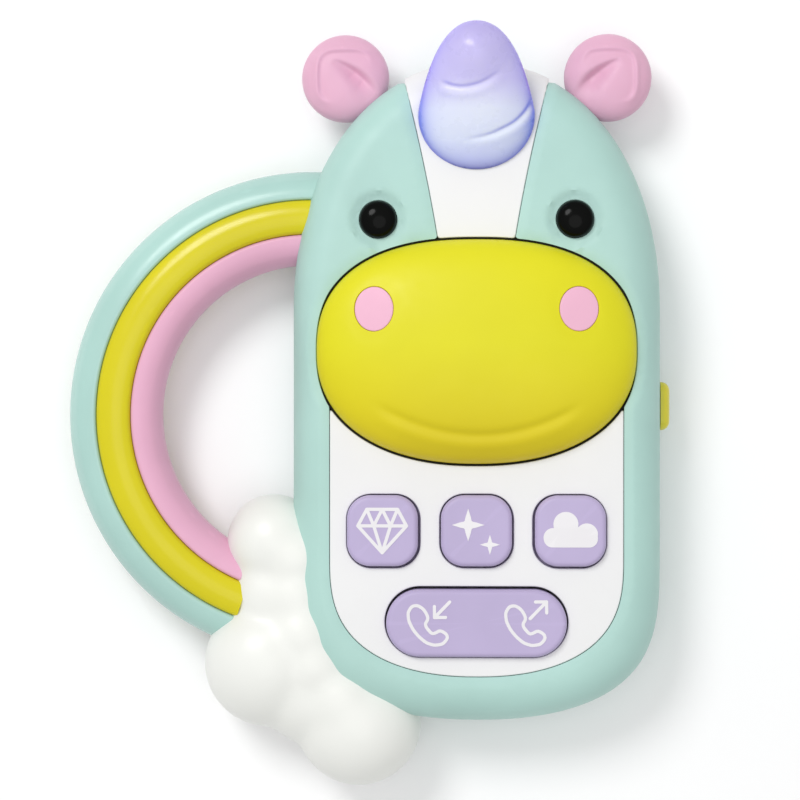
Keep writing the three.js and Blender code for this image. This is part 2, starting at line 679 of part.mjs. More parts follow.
// ---- power switch --------------------------------------------------------------------------
function switchKnob() {
  const { y, capHalf, capDepth, proud, stemHalf, stemDepth } = SWITCH;
  const face = HALF_WIDTH + GAP;
  const at = (inset, x) =>
    roundedRect(0, 0, capHalf - inset, capDepth - inset, 2.4 - inset, 3).map(
      (p) => new THREE.Vector3(x, y + p.x, SPLIT_Z + p.y),
    );
  const cap = stack([
    at(0, face),
    at(0, face + proud * 0.6),
    at(0.5, face + proud * 0.9),
    at(1.2, face + proud),
  ]);
  return cap.add(box(39, face + 0.5, y - stemHalf, y + stemHalf, SPLIT_Z - stemDepth, SPLIT_Z + stemDepth));
}

function powerSwitch() {
  const { y } = SWITCH;
  return box(31, 37.6, y - 5.5, y + 5.5, 11.2, BOARD.bottom - GAP)
    .subtract(box(34.5, 40, y - 3.6, y + 3.6, SPLIT_Z - 1.2, SPLIT_Z + 1.2));
}

// ---- assembly ------------------------------------------------------------------------------
const group = new THREE.Group();

function place(name, manifold, colour, opacity = 1) {
  const [roughness, metalness] = FINISH[colour];
  const material = new THREE.MeshStandardMaterial({ color: COLOURS[colour], roughness, metalness });
  material.transparent = opacity < 1;
  material.opacity = opacity;
  const mesh = new THREE.Mesh(geometryOf(manifold), material);
  mesh.name = name;
  group.add(mesh);
}

place("front_cover", frontCover(), "mint");
place("back_cover", backCover(), "mint");
place("face_plate", facePlate(), "white");
place("snout_button", snoutButton(), "yellow");
place("snout_seal", snoutSeal(), "black");
place("horn", horn(), "horn", 0.8);
for (const [side, label] of [[-1, "left"], [1, "right"]]) {
  place(label + "_nostril", nostril(side), "pink");
  place(label + "_eye", eye(side), "black");
  place(label + "_ear", ear(side), "pink");
}
BANDS.forEach((band) => place(band.name, bandSolid(band), band.colour));
place("cloud_front", cloudHalf(1), "white");
place("cloud_back", cloudHalf(-1), "white");

[["gem_key", -1], ["sparkle_key", 0], ["cloud_key", 1]].forEach(([name, step]) => {
  place(name, squareKey(step * KEY.pitch), "lilac");
  place(name + "_dome", dome(step * KEY.pitch, KEY.y), "rubber");
});
place("call_key", callKey(), "lilac");
place("call_key_dome_left", dome(-CALL_DOME_X, CALL.y), "rubber");
place("call_key_dome_right", dome(CALL_DOME_X, CALL.y), "rubber");
place("keypad_membrane", keypadMembrane(), "rubber");

place("circuit_board", circuitBoard(), "board");
const onBoard = BOARD.top + GAP;
place(
  "sound_chip",
  box(CHIP.x, CHIP.x + CHIP.width, CHIP.y, CHIP.y + CHIP.length, onBoard, onBoard + CHIP.height),
  "black",
);
const switchTop = SNOUT.skirt - SNOUT_TRAVEL - GAP;
place("snout_switch", box(-3, 3, SNOUT.y - 3, SNOUT.y + 3, onBoard, switchTop), "black");
for (const [side, label] of [[-1, "left"], [1, "right"]]) {
  const coil = new Helix(
    side * SNOUT_POST.x, SNOUT.y, BOARD.top + 1, SNOUT.crown - 3.9, SNOUT_POST.springRadius, 4);
  place("snout_spring_" + label, wireSolid(coil, SNOUT_POST.wire, 30), "metal");
}
place("speaker_driver", speakerDriver(), "metal");
place("speaker_cone", speakerCone(), "black");
place("horn_led_board", box(-9, 9, LAMP.y - 6, LAMP.y + 6, LAMP.boardLow, LAMP.boardTop), "board");
const lampFoot = LAMP.boardTop + GAP;
place(
  "horn_led",
  turned(0, LAMP.y, [
    [0, lampFoot], [LAMP.radius + 0.4, lampFoot],
    [LAMP.radius + 0.4, lampFoot + 1.1], [LAMP.radius, lampFoot + 1.1],
    [LAMP.radius, LAMP.top - 2.2], [LAMP.radius * 0.64, LAMP.top - 0.6], [0, LAMP.top],
  ], 12),
  "white",
);
place("switch_knob", switchKnob(), "yellow");
place("power_switch", powerSwitch(), "metal");
place(
  "switch_slider",
  box(34.9, 38.6, SWITCH.y - 1.4, SWITCH.y + 1.4, SPLIT_Z - 0.9, SPLIT_Z + 0.9),
  "black",
);

place("battery_door", batteryDoor(), "mint");
place("battery_door_screw", screw(0, BATTERY.y + DOOR.lugY, DOOR.low + 1.2, DOOR_SCREW_TIP), "metal");
place("battery_upper", battery(1), "cell");
place("battery_lower", battery(-1), "cell");
const topRow = BATTERY.y + BATTERY.spread;
const bottomRow = BATTERY.y - BATTERY.spread;
place("battery_contact_positive", contact(BAY.halfX - 0.6, topRow - 4, topRow + 4), "metal");
place("battery_contact_negative", contact(BAY.halfX - 0.6, bottomRow - 4, bottomRow + 4), "metal");
place("battery_bridge", contact(-BAY.halfX + 0.6, bottomRow - 4, topRow + 4), "metal");
place("battery_spring_upper", batterySpring(1), "metal");
place("battery_spring_lower", batterySpring(-1), "metal");

place("speaker_lead_red", lead([11, 41, 8], [12, 43, 11.5], [11, 40, 14.6], [9, 35, 16]), "pink");
place("speaker_lead_black", lead([-11, 41, 8], [-12, 43, 11.5], [-11, 40, 14.6], [-9, 35, 16]), "black");
place("led_lead_red", lead([4, 60, 16.8], [4.5, 54, 15.6], [5, 46, 15.4], [5, 36, 16]), "pink");
place("led_lead_black", lead([-4, 60, 16.8], [-4.5, 54, 15.6], [-5, 46, 15.4], [-5, 36, 16]), "black");
SCREWS.forEach(([x, y], i) => place("case_screw_" + (i + 1), screw(x, y, SCREW.seat, SCREW.tip), "metal"));

export default group;
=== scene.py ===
import math

import bmesh
import bpy
import numpy as np
from mathutils import Matrix, Vector
from mathutils.geometry import delaunay_2d_cdt

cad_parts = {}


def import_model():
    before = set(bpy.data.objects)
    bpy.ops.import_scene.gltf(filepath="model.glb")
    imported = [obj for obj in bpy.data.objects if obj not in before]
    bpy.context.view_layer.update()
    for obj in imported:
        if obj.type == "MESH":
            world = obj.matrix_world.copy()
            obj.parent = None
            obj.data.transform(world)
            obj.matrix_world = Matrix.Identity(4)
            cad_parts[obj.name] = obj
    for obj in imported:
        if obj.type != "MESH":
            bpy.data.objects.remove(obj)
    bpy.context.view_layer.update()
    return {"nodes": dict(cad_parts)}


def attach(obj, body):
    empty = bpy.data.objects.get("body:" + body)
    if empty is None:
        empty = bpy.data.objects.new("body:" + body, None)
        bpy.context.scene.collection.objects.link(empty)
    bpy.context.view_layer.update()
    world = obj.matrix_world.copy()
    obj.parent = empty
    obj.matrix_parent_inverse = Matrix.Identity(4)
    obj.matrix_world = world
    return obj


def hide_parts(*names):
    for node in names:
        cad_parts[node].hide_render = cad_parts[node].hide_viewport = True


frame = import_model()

# A toy cell phone with a unicorn face. Shapes are worked out in millimetres and stored in metres.
MM = 0.001
QUARTER = math.pi / 2

# ---- sizes ----
HALF_WIDTH = 45.4
# superellipses that make the outlines: the head, the white crest on top of it, and the chin
HEAD = {"centre": 20, "height": 61.6, "power": (2.12, 2.12)}
CREST = {"centre": 20, "height": 62.1, "power": (2.12, 2.12)}
CHIN = {"centre": -36, "height": 45.2, "power": (2.24, 3.9)}
SPLIT = 14.0  # height of the parting line
SEAM = 0.12  # half of the gap along it
FACE, FACE_EDGE, BACK_EDGE = 27.0, 9.0, 7.0  # height of the face, and the rounding of both rims
PLATE_DROP = 0.85  # how far the face plate lies below the cover
WALL, PLATE_WALL = 2.0, 2.4

SNOUT_Y, SNOUT_HALF, SNOUT_GAP = 10.0, (39.2, 27.5), 0.55
SNOUT_POWER = (2.43, 2.25)  # above and below the middle
SNOUT_EDGE, SNOUT_CROWN = 25.6, 35.9  # heights of its edge and its crown
NOSTRIL = {"x": 24.9, "y": 20.3, "half": (4.8, 5.5)}
EYE = {"x": 24.1, "y": 42.4, "radius": 4.55, "socket": 6.5}

PANEL = {"half": 36.1, "centre": -40, "height": 29.8, "power": (2.25, 2.9)}
# half width of the white blaze at its foot, and how it grows upwards
BLAZE_Y, BLAZE_HALF, BLAZE_SLOPE, BLAZE_CURVE = 37.8, 9.6, 0.165, 0.00125

KEY_Y, KEY_PITCH, KEY_HALF, KEY_CORNER = -33.85, 23.0, 8.68, 5.7
KEY_BOTTOM, KEY_TOP, KEY_FILLET, KEY_GAP = 21.4, 28.4, 1.25, 0.42
CALL_Y, CALL_HALF = -56.45, (22.1, 8.25)

HORN = {"y": 67.8, "radius": 14.3, "lean": 16.0, "top": 41.0}
SIDES = ((-1, "left"), (1, "right"))
EAR = {"x": 32.7, "y": 78.4, "radius": 10.9, "depth": 5.4}
GRIP = {"x": -41.2, "y": -5.6, "depth": 6.8, "middle": 49.05, "half": 11.7}
# each lobe of the cloud: middle, radius, and how much it is flattened front to back
LOBES = [
    (-50.7, -37.0, 14.3, 11.8, 1.0), (-50.9, -50.3, 14.0, 10.7, 1.0), (-52.1, -67.6, 14.0, 16.1, 0.86),
    (-41.0, -75.2, 14.0, 13.1, 0.9), (-29.4, -82.6, 14.0, 15.75, 0.86),
]
# rounds that carry the cloud over the edge of the handset
SHOULDERS = [
    (-45.1, -41.0, 16.0, 10.2, 1.0), (-45.0, -50.5, 16.0, 10.2, 1.0), (-42.9, -60.0, 16.0, 11.2, 1.0),
    (-40.0, -67.8, 15.8, 11.4, 1.0), (-33.4, -76.6, 15.6, 11.9, 1.0),
]

STEP = 1.25  # spacing of mesh points on broad surfaces


# ---- materials ----
def srgb(red, green, blue):
    """A colour given as 0-255 display values, as the shader wants it."""
    def linear(value):
        c = value / 255
        return c / 12.92 if c <= 0.04045 else ((c + 0.055) / 1.055) ** 2.4
    return (linear(red), linear(green), linear(blue), 1.0)


class Nodes:
    """A short way to write a node tree."""

    def __init__(self, owner, shader="Principled BSDF"):
        owner.use_nodes = True
        self.owner = owner
        self.tree = owner.node_tree
        self.shader = self.tree.nodes[shader]

    def put(self, value, socket):
        """Links an output to the socket, or sets the socket to a constant."""
        if isinstance(value, bpy.types.NodeSocket):
            self.tree.links.new(value, socket)
        else:
            socket.default_value = value

    def add(self, kind, **values):
        """A new node. Each value is one of its settings or one of its inputs."""
        node = self.tree.nodes.new(kind)
        for key, value in values.items():
            if hasattr(node, key):
                setattr(node, key, value)
            else:
                self.put(value, node.inputs[key.replace("_", " ")])
        return node

    def set(self, **values):
        """Sets inputs of the shader."""
        for key, value in values.items():
            self.put(value, self.shader.inputs[key.replace("_", " ")])

    def place(self):
        """The place in the object's own metres."""
        return self.add("ShaderNodeTexCoord").outputs["Object"]

    def noise(self, scale, detail=3.0, stretch=(1, 1, 1)):
        """Noise with that many waves per metre."""
        mapping = self.add("ShaderNodeMapping", Vector=self.place(), Scale=stretch)
        return self.add(
            "ShaderNodeTexNoise", Vector=mapping.outputs["Vector"], Scale=scale, Detail=detail).outputs["Fac"]

    def ramp(self, source, stops):
        """A colour from the source, through (position, colour) stops."""
        node = self.add("ShaderNodeValToRGB", Fac=source)
        elements = node.color_ramp.elements
        while len(elements) < len(stops):
            elements.new(0.5)
        for element, (position, colour) in zip(elements, stops):
            element.position = position
            element.color = colour
        return node.outputs["Color"]

    def ranged(self, source, start, end, low=0.0, high=1.0, **settings):
        """A number that goes from low to high as the source goes from start to end."""
        return self.add(
            "ShaderNodeMapRange", Value=source, From_Min=start, From_Max=end, To_Min=low, To_Max=high,
            **settings).outputs["Result"]

    def mixed(self, factor, first, second, blend_type="MIX"):
        """Two colours, mixed."""
        node = self.add("ShaderNodeMix", data_type="RGBA", blend_type=blend_type, Factor=factor)
        for value, socket in zip((first, second), node.inputs[6:8]):
            self.put(value, socket)
        return node.outputs[2]

    def along_y(self, low, high):
        """0 to 1 from one Y to another, in millimetres."""
        parts = self.add("ShaderNodeSeparateXYZ", Vector=self.place())
        return self.ranged(parts.outputs["Y"], low * MM, high * MM)

    def grain(self, scale, strength):
        """A fine moulded grain, as bump on top of the mesh."""
        bump = self.add("ShaderNodeBump", Strength=strength, Distance=0.00004, Height=self.noise(scale, 2.0))
        self.set(Normal=bump.outputs["Normal"])


def shade(colour, factor):
    """The colour, lighter or darker by a factor."""
    return tuple(min(c * factor, 1.0) for c in colour[:3]) + (1.0,)


def plastic(
        name, colour, rough=(0.4, 0.5), variation=0.05, subsurface=0.0, coat=0.0, bump=0.25, specular=0.4,
        foot=None):
    """Moulded plastic: slow colour drift, colour a little lighter on sharp convex edges, uneven gloss and a
    fine grain.
    foot is painted shade at the lower end: the colour multiplied in there, and the two Y between which it
    fades."""
    nodes = Nodes(bpy.data.materials.new(name))
    colour = srgb(*colour)
    stops = [(0.35, shade(colour, 1 - variation)), (0.65, shade(colour, 1 + variation * 0.5))]
    drift = nodes.ramp(nodes.noise(35, 4.0), stops)
    # painted shade: the lower end of the part is multiplied darker
    if foot:
        shade_tint, low, high = foot
        shade_fade = nodes.ramp(nodes.along_y(low, high), [(0.0, shade_tint), (1.0, (1, 1, 1, 1))])
        drift = nodes.mixed(1.0, drift, shade_fade, "MULTIPLY")
    # colour a little lighter on sharply convex edges
    edge = nodes.add("ShaderNodeNewGeometry").outputs["Pointiness"]
    edge_lift = nodes.ranged(edge, 0.52, 0.62, 0.0, 0.25)
    nodes.set(
        Base_Color=nodes.mixed(edge_lift, drift, shade(colour, 1.12)),
        Roughness=nodes.ranged(nodes.noise(220), 0.3, 0.7, *rough), IOR=1.5, Specular_IOR_Level=specular,
        Coat_Weight=coat, Subsurface_Weight=subsurface, Subsurface_Radius=(0.003, 0.002, 0.002),
        Subsurface_Scale=0.5)
    nodes.grain(2600, bump)
    return nodes.owner


def horn_material():
    """Milky lilac moulding, paler and bluer lower down, with painted shade where its wall is steep: a deeper,
    darker colour chosen by how far the surface faces sideways, and a painted contact shadow at the foot.
    """
    nodes = Nodes(bpy.data.materials.new("horn moulding"))
    along = nodes.along_y(54, 89)
    # colour of the upward-facing surface along Y; the darker first stop at the foot is painted contact shadow
    flat_stops = [
        (0.0, srgb(184, 190, 252)), (0.1, srgb(210, 217, 254)), (0.22, srgb(226, 233, 255)),
        (0.42, srgb(230, 235, 255)), (0.62, srgb(209, 203, 245)), (1.0, srgb(187, 177, 224)),
    ]
    # painted shade: colour of steep, sideways-facing walls, darkest at the foot as painted contact shadow
    shaded_stops = [
        (0.0, srgb(86, 90, 176)), (0.08, srgb(122, 128, 226)), (0.35, srgb(120, 130, 246)),
        (0.6, srgb(156, 150, 245)), (1.0, srgb(178, 166, 230)),
    ]
    normal = nodes.add("ShaderNodeNewGeometry").outputs["Normal"]
    upright = nodes.add("ShaderNodeSeparateXYZ", Vector=normal).outputs["Z"]
    # how far the surface faces up: 0 takes the painted shade, 1 the flat colour
    lit_share = nodes.ranged(upright, 0.34, 0.96, interpolation_type="SMOOTHSTEP")
    colour = nodes.mixed(lit_share, nodes.ramp(along, shaded_stops), nodes.ramp(along, flat_stops))
    cloudy = nodes.ramp(nodes.noise(90), [(0.3, (0.95, 0.95, 0.97, 1)), (0.7, (1, 1, 1, 1))])
    nodes.set(
        Base_Color=nodes.mixed(1.0, colour, cloudy, "MULTIPLY"),
        Roughness=nodes.ranged(nodes.noise(300), 0.3, 0.7, 0.24, 0.34), IOR=1.45, Specular_IOR_Level=0.4,
        Coat_Weight=0.1, Subsurface_Weight=0.3, Subsurface_Radius=(0.002, 0.002, 0.003), Subsurface_Scale=1.0)
    nodes.grain(1500, 0.1)
    return nodes.owner


def metal(name, colour, rough, scratch=(1, 1, 1)):
    """Metal with cloudy tarnish. scratch stretches its pattern along an axis."""
    nodes = Nodes(bpy.data.materials.new(name))
    colour = srgb(*colour)
    worn = nodes.ranged(nodes.noise(900, 3.0, scratch), 0.3, 0.7, rough * 0.7, rough * 1.3)
    stops = [(0.35, shade(colour, 0.82)), (0.65, colour)]
    nodes.set(Base_Color=nodes.ramp(nodes.noise(400, 4.0, scratch), stops), Roughness=worn, Metallic=1.0)
    nodes.grain(1800, 0.2)
    return nodes.owner


MATERIALS = {
    "mint_shell": plastic("mint plastic", (174, 210, 202), rough=(0.42, 0.52), specular=0.35),
    "white_plate": plastic("white plastic", (233, 233, 233), variation=0.02),
    # the snout's foot is painted shade: below Y 12 its colour is multiplied darker and more orange, fully at
    # Y -17
    "snout_yellow": plastic(
        "yellow snout plastic", (222, 216, 26), variation=0.03, specular=0.3,
        foot=((0.93, 0.78, 0.95, 1), -17, 12)),
    # black rubber in the snout's gap: partly a real seal, partly painted shade of the gap
    "seal_black": plastic("black seal rubber for gap shade", (14, 16, 12), rough=(0.6, 0.8)),
    "horn_lilac": horn_material(),
    "ear_pink": plastic("pink ear plastic", (222, 173, 197), specular=0.3, subsurface=0.05),
    "nostril_pink": plastic("pink nostril plastic", (238, 184, 207), rough=(0.5, 0.6), specular=0.25),
    "eye_black": plastic("black eye plastic", (7, 8, 7), rough=(0.1, 0.16), bump=0.02, specular=0.08),
    "grip_mint": plastic("mint grip plastic", (172, 209, 201), rough=(0.2, 0.26)),
    "grip_yellow": plastic("yellow grip plastic", (214, 202, 20), rough=(0.2, 0.26), specular=0.35),
    "grip_pink": plastic("pink grip plastic", (226, 172, 198), rough=(0.3, 0.38), specular=0.3),
    "cloud_white": plastic("white cloud plastic", (237, 238, 233), rough=(0.3, 0.4), variation=0.015),
    "key_lilac": plastic("lilac key plastic", (185, 172, 208), rough=(0.42, 0.52)),
    "switch_yellow": plastic("yellow switch plastic", (216, 206, 62), rough=(0.32, 0.42)),
    "steel": metal("zinc plated steel", (188, 190, 194), 0.35, (1, 1, 0.15)),
    "spring_steel": metal("nickel plated wire", (206, 206, 208), 0.22),
    "speaker_frame": metal("pressed speaker frame", (150, 152, 156), 0.4),
    "speaker_cone": plastic("speaker cone film", (26, 26, 28), rough=(0.45, 0.6)),
    "silicone_grey": plastic("grey silicone", (150, 150, 152), rough=(0.6, 0.75)),
    "board_green": plastic("green circuit board", (40, 104, 64), rough=(0.25, 0.5), variation=0.25),
    "chip_black": plastic("black moulded epoxy", (22, 22, 24), rough=(0.5, 0.65)),
    "led_clear": plastic("clear lamp epoxy", (240, 240, 246), rough=(0.1, 0.18), subsurface=0.3),
    "cell_wrap": plastic("printed cell wrap", (58, 72, 100), rough=(0.2, 0.3), variation=0.2, coat=0.3),
    "wire_red": plastic("red wire insulation", (188, 56, 52), rough=(0.4, 0.55)),
    "wire_black": plastic("black wire insulation", (22, 22, 24), rough=(0.4, 0.55)),
}
ICON = plastic("white key print", (230, 228, 231), variation=0.02)


# ---- outlines ----
def clamped(value):
    """The value, kept between 0 and 1."""
    return np.clip(value, 0, 1)


def ease(value):
    """0 to 1, with a soft start and a soft end."""
    t = clamped(value)
    return t * t * (3 - 2 * t)


def round_angles(count):
    """Angles all the way round."""
    return np.linspace(0, 2 * math.pi, count, endpoint=False)


def circle(angle):
    """Points of the unit circle."""
    return np.column_stack([np.cos(angle), np.sin(angle)])


def power(values, exponent):
    """A power that keeps the sign."""
    return np.sign(values) * np.abs(values) ** exponent


def arch(half_width, part, start, end, steps=400):
    """Part of a superellipse about (0, part's centre), from one angle to another."""
    rays = power(circle(np.linspace(start, end, steps)), 2 / np.array(part["power"]))
    return rays * [half_width, part["height"]] + [0, part["centre"]]


def evenly(points, spacing, closed=True):
    """The polyline's points at an even spacing along it."""
    points = np.asarray(points, float)
    if closed:
        points = np.vstack([points, points[:1]])
    run = np.concatenate([[0], np.cumsum(np.hypot(*np.diff(points, axis=0).T))])
    count = max(int(round(run[-1] / spacing)), 3)
    at = np.linspace(0, run[-1], count + 1)
    if closed:
        at = at[:-1]
    return np.column_stack([np.interp(at, run, points[:, 0]), np.interp(at, run, points[:, 1])])


def unit(vectors):
    """The vectors at length 1."""
    return vectors / np.maximum(np.linalg.norm(vectors, axis=-1), 1e-12)[..., None]


def normals(loop):
    """Outward normals of a closed anticlockwise loop."""
    along = unit(np.roll(loop, -1, axis=0) - np.roll(loop, 1, axis=0))
    return np.column_stack([along[:, 1], -along[:, 0]])


def beside(line, points):
    """How far the points lie above the line (below it, less than 0), and their places along it, 0 to 1."""
    gaps = np.linalg.norm(points[:, None] - line[None], axis=2)
    best = gaps.argmin(axis=1)
    gap = gaps[np.arange(len(best)), best]
    return np.where(points[:, 1] < line[best, 1], -gap, gap), best / (len(line) - 1)


def handset_outline(head):
    top = arch(HALF_WIDTH, head, 0, math.pi)
    bottom = arch(HALF_WIDTH, CHIN, math.pi, 2 * math.pi)
    return evenly(np.vstack([top, bottom]), 0.6)


def superellipse(x, y, half, exponent, angle, exponent_below=None):
    """Its points at the angles. The lower half may have its own exponent."""
    p = np.where(np.sin(angle) >= 0, exponent, exponent_below or exponent)
    return np.column_stack([power(np.cos(angle), 2 / p), power(np.sin(angle), 2 / p)]) * half + [x, y]


def disc(x, y, radius, count=40):
    return superellipse(x, y, (radius, radius), 2, round_angles(count))


def rounded_rect(x, y, half, corner, per_corner=14):
    points = []
    for quarter, (sx, sy) in enumerate([(1, 1), (-1, 1), (-1, -1), (1, -1)]):
        angle = (quarter + np.linspace(0, 1, per_corner)) * QUARTER
        points.append(np.column_stack([
            x + sx * (half[0] - corner) + corner * np.cos(angle),
            y + sy * (half[1] - corner) + corner * np.sin(angle),
        ]))
    return np.vstack(points)


def inside(loop, points):
    """Which points are inside the loop."""
    a, b = loop, np.roll(loop, -1, axis=0)
    result = np.zeros(len(points), bool)
    for start in range(0, len(points), 4000):
        p = points[start:start + 4000, None, :]
        spans = (a[None, :, 1] > p[..., 1]) != (b[None, :, 1] > p[..., 1])
        rise = np.where(b[:, 1] == a[:, 1], 1.0, b[:, 1] - a[:, 1])
        cut = a[None, :, 0] + (p[..., 1] - a[None, :, 1]) * (b[:, 0] - a[:, 0]) / rise
        result[start:start + 4000] = (np.sum(spans & (p[..., 0] < cut), axis=1) % 2) == 1
    return result


def within(loops, points):
    """Which points are inside the first loop and outside the others."""
    keep = inside(loops[0], points)
    for hole in loops[1:]:
        keep &= ~inside(hole, points)
    return keep


def nearest(loop, points):
    """Distance to the loop, index of the nearest segment and the place along it, for each point."""
    a = loop
    d = np.roll(loop, -1, axis=0) - a
    length2 = np.maximum((d ** 2).sum(axis=1), 1e-12)
    distance, index, place = np.empty(len(points)), np.empty(len(points), int), np.empty(len(points))
    for start in range(0, len(points), 2000):
        p = points[start:start + 2000, None, :]
        t = clamped(((p - a) * d).sum(axis=2) / length2)
        gap = np.linalg.norm(p - (a + d * t[..., None]), axis=2)
        best = gap.argmin(axis=1)
        rows = np.arange(len(best))
        distance[start:start + 2000] = gap[rows, best]
        index[start:start + 2000] = best
        place[start:start + 2000] = t[rows, best]
    return distance, index, place


# ---- meshes ----
def linked(name, data):
    """A new object in the scene."""
    obj = bpy.data.objects.new(name, data)
    bpy.context.scene.collection.objects.link(obj)
    return obj


def make_object(name, skin, material, body, sharp=35):
    """A smooth-shaded object from vertices in millimetres and faces. It rides on the body."""
    vertices, faces = skin
    mesh = bpy.data.meshes.new(name)
    mesh.from_pydata((np.asarray(vertices, float) * MM).tolist(), [], [tuple(map(int, f)) for f in faces])
    mesh.validate()
    mesh.polygons.foreach_set("use_smooth", [True] * len(mesh.polygons))
    mesh.set_sharp_from_angle(angle=math.radians(sharp))
    mesh.update()
    mesh.materials.append(material)
    obj = linked(name, mesh)
    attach(obj, body)
    return obj


def piece(node, skin, slot, body="case", sharp=35):
    """The visible piece that stands for a CAD node."""
    obj = make_object(node + "_look", skin, MATERIALS[slot], body, sharp)
    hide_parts(node)
    return obj


def join_parts(*parts):
    """Several (vertices, faces) as one."""
    vertices, faces, shift = [], [], 0
    for v, f in parts:
        v = np.asarray(v, float)
        vertices.append(v)
        faces += [tuple(i + shift for i in face) for face in f]
        shift += len(v)
    return np.vstack(vertices), faces


def walls(count, pairs):
    """Faces between two rings of equal count, for each pair of ring numbers."""
    return [
        (a * count + i, a * count + (i + 1) % count, b * count + (i + 1) % count, b * count + i)
        for a, b in pairs for i in range(count)
    ]


def stacked(rings, cap_low=True, cap_high=True):
    """Faces through rings of equal count, the first lowest, with a fan over each end."""
    count, last = len(rings[0]), len(rings) - 1
    vertices = np.vstack(rings)
    faces = walls(count, [(k, k + 1) for k in range(last)])
    if cap_low:
        vertices = np.vstack([vertices, np.mean(rings[0], axis=0)])
        faces += [(len(vertices) - 1, (i + 1) % count, i) for i in range(count)]
    if cap_high:
        vertices = np.vstack([vertices, np.mean(rings[-1], axis=0)])
        faces += [(len(vertices) - 1, last * count + i, last * count + (i + 1) % count) for i in range(count)]
    return vertices, faces


def tube(rings):
    """A closed ring-shaped solid: each ring joins the next and the last joins the first."""
    return np.vstack(rings), walls(len(rings[0]), [(k, (k + 1) % len(rings)) for k in range(len(rings))])


def at_height(loop, z):
    return np.column_stack([loop, np.broadcast_to(z, len(loop))])


def net(loops, extra=()):
    """Points and triangles of a plan net that holds every edge of the loops."""
    points, edges = [], []
    for loop in loops:
        start = len(points)
        points += [Vector(p) for p in loop]
        edges += [(start + i, start + (i + 1) % len(loop)) for i in range(len(loop))]
    points += [Vector(p) for p in extra]
    plan, _, faces, *_ = delaunay_2d_cdt(points, edges, [], 0, 1e-6)
    return np.array([tuple(p) for p in plan]), np.array([f for f in faces if len(f) == 3])


def solid(top, bottom, faces):
    """A closed solid from a skin, the same skin lower down and walls along its edges."""
    count = len(top)
    result = [tuple(f) for f in faces] + [tuple(i + count for i in f[::-1]) for f in faces]
    directed = {(f[i], f[(i + 1) % 3]) for f in faces.tolist() for i in range(3)}
    result += [(b, a, a + count, b + count) for a, b in directed if (b, a) not in directed]
    return np.vstack([top, bottom]), result


class Plane:
    """A flat surface at height z. Side 1 faces up and -1 faces down."""

    def __init__(self, z, side=1):
        self.z, self.side = z, side

    def lift(self, points, drop):
        return np.column_stack([points, self.z - self.side * np.broadcast_to(drop, len(points))])


class Shell:
    """One half of the handset's skin: a flat, a rounded edge and a wall that ends at the parting line. It is
    drawn unrolled: the rounded edge and the wall lie outside the flat, at their true length."""

    def __init__(self, outline, radius, flat, side):
        self.radius, self.flat, self.side = radius, flat, side
        self.normal = normals(outline)
        self.core = outline - self.normal * radius
        self.quarter = radius * QUARTER
        self.wall = abs(flat - SPLIT) - SEAM - radius
        self.rim = self.core + self.normal * (self.quarter + self.wall)

    def foot(self, points):
        distance, index, place = nearest(self.core, points)
        after = (index + 1) % len(self.core)
        foot = self.core[index] * (1 - place[:, None]) + self.core[after] * place[:, None]
        normal = unit(self.normal[index] * (1 - place[:, None]) + self.normal[after] * place[:, None])
        return foot, normal, np.where(inside(self.core, points), 0.0, distance)

    def unroll(self, plan):
        """Plan positions on the flat or the rounded edge, as unrolled positions."""
        foot, normal, reach = self.foot(plan)
        along = self.radius * np.arcsin(clamped(reach / self.radius))
        return np.where(reach[:, None] > 0, foot + normal * along[:, None], plan)

    def lift(self, points, drop):
        foot, normal, reach = self.foot(points)
        angle = np.minimum(reach / self.radius, QUARTER)
        below = np.maximum(reach - self.quarter, 0)
        radius = self.radius - drop
        plan = np.where(reach[:, None] > 0, foot + normal * (radius * np.sin(angle))[:, None], points)
        height = self.radius - radius * np.cos(angle) + below
        return np.column_stack([plan, self.flat - self.side * height])


def shifted_rows(loop, spacing):
    """Evenly spread points over the box of the loop, every other row shifted."""
    low, high = loop.min(axis=0), loop.max(axis=0)
    rows = np.arange(low[1], high[1], spacing * math.sqrt(3) / 2)
    columns = np.arange(low[0], high[0], spacing)
    x = columns + (np.arange(len(rows)) % 2 * spacing / 2)[:, None]
    y = np.broadcast_to(rows[:, None], x.shape)
    return np.column_stack([x.ravel(), y.ravel()])


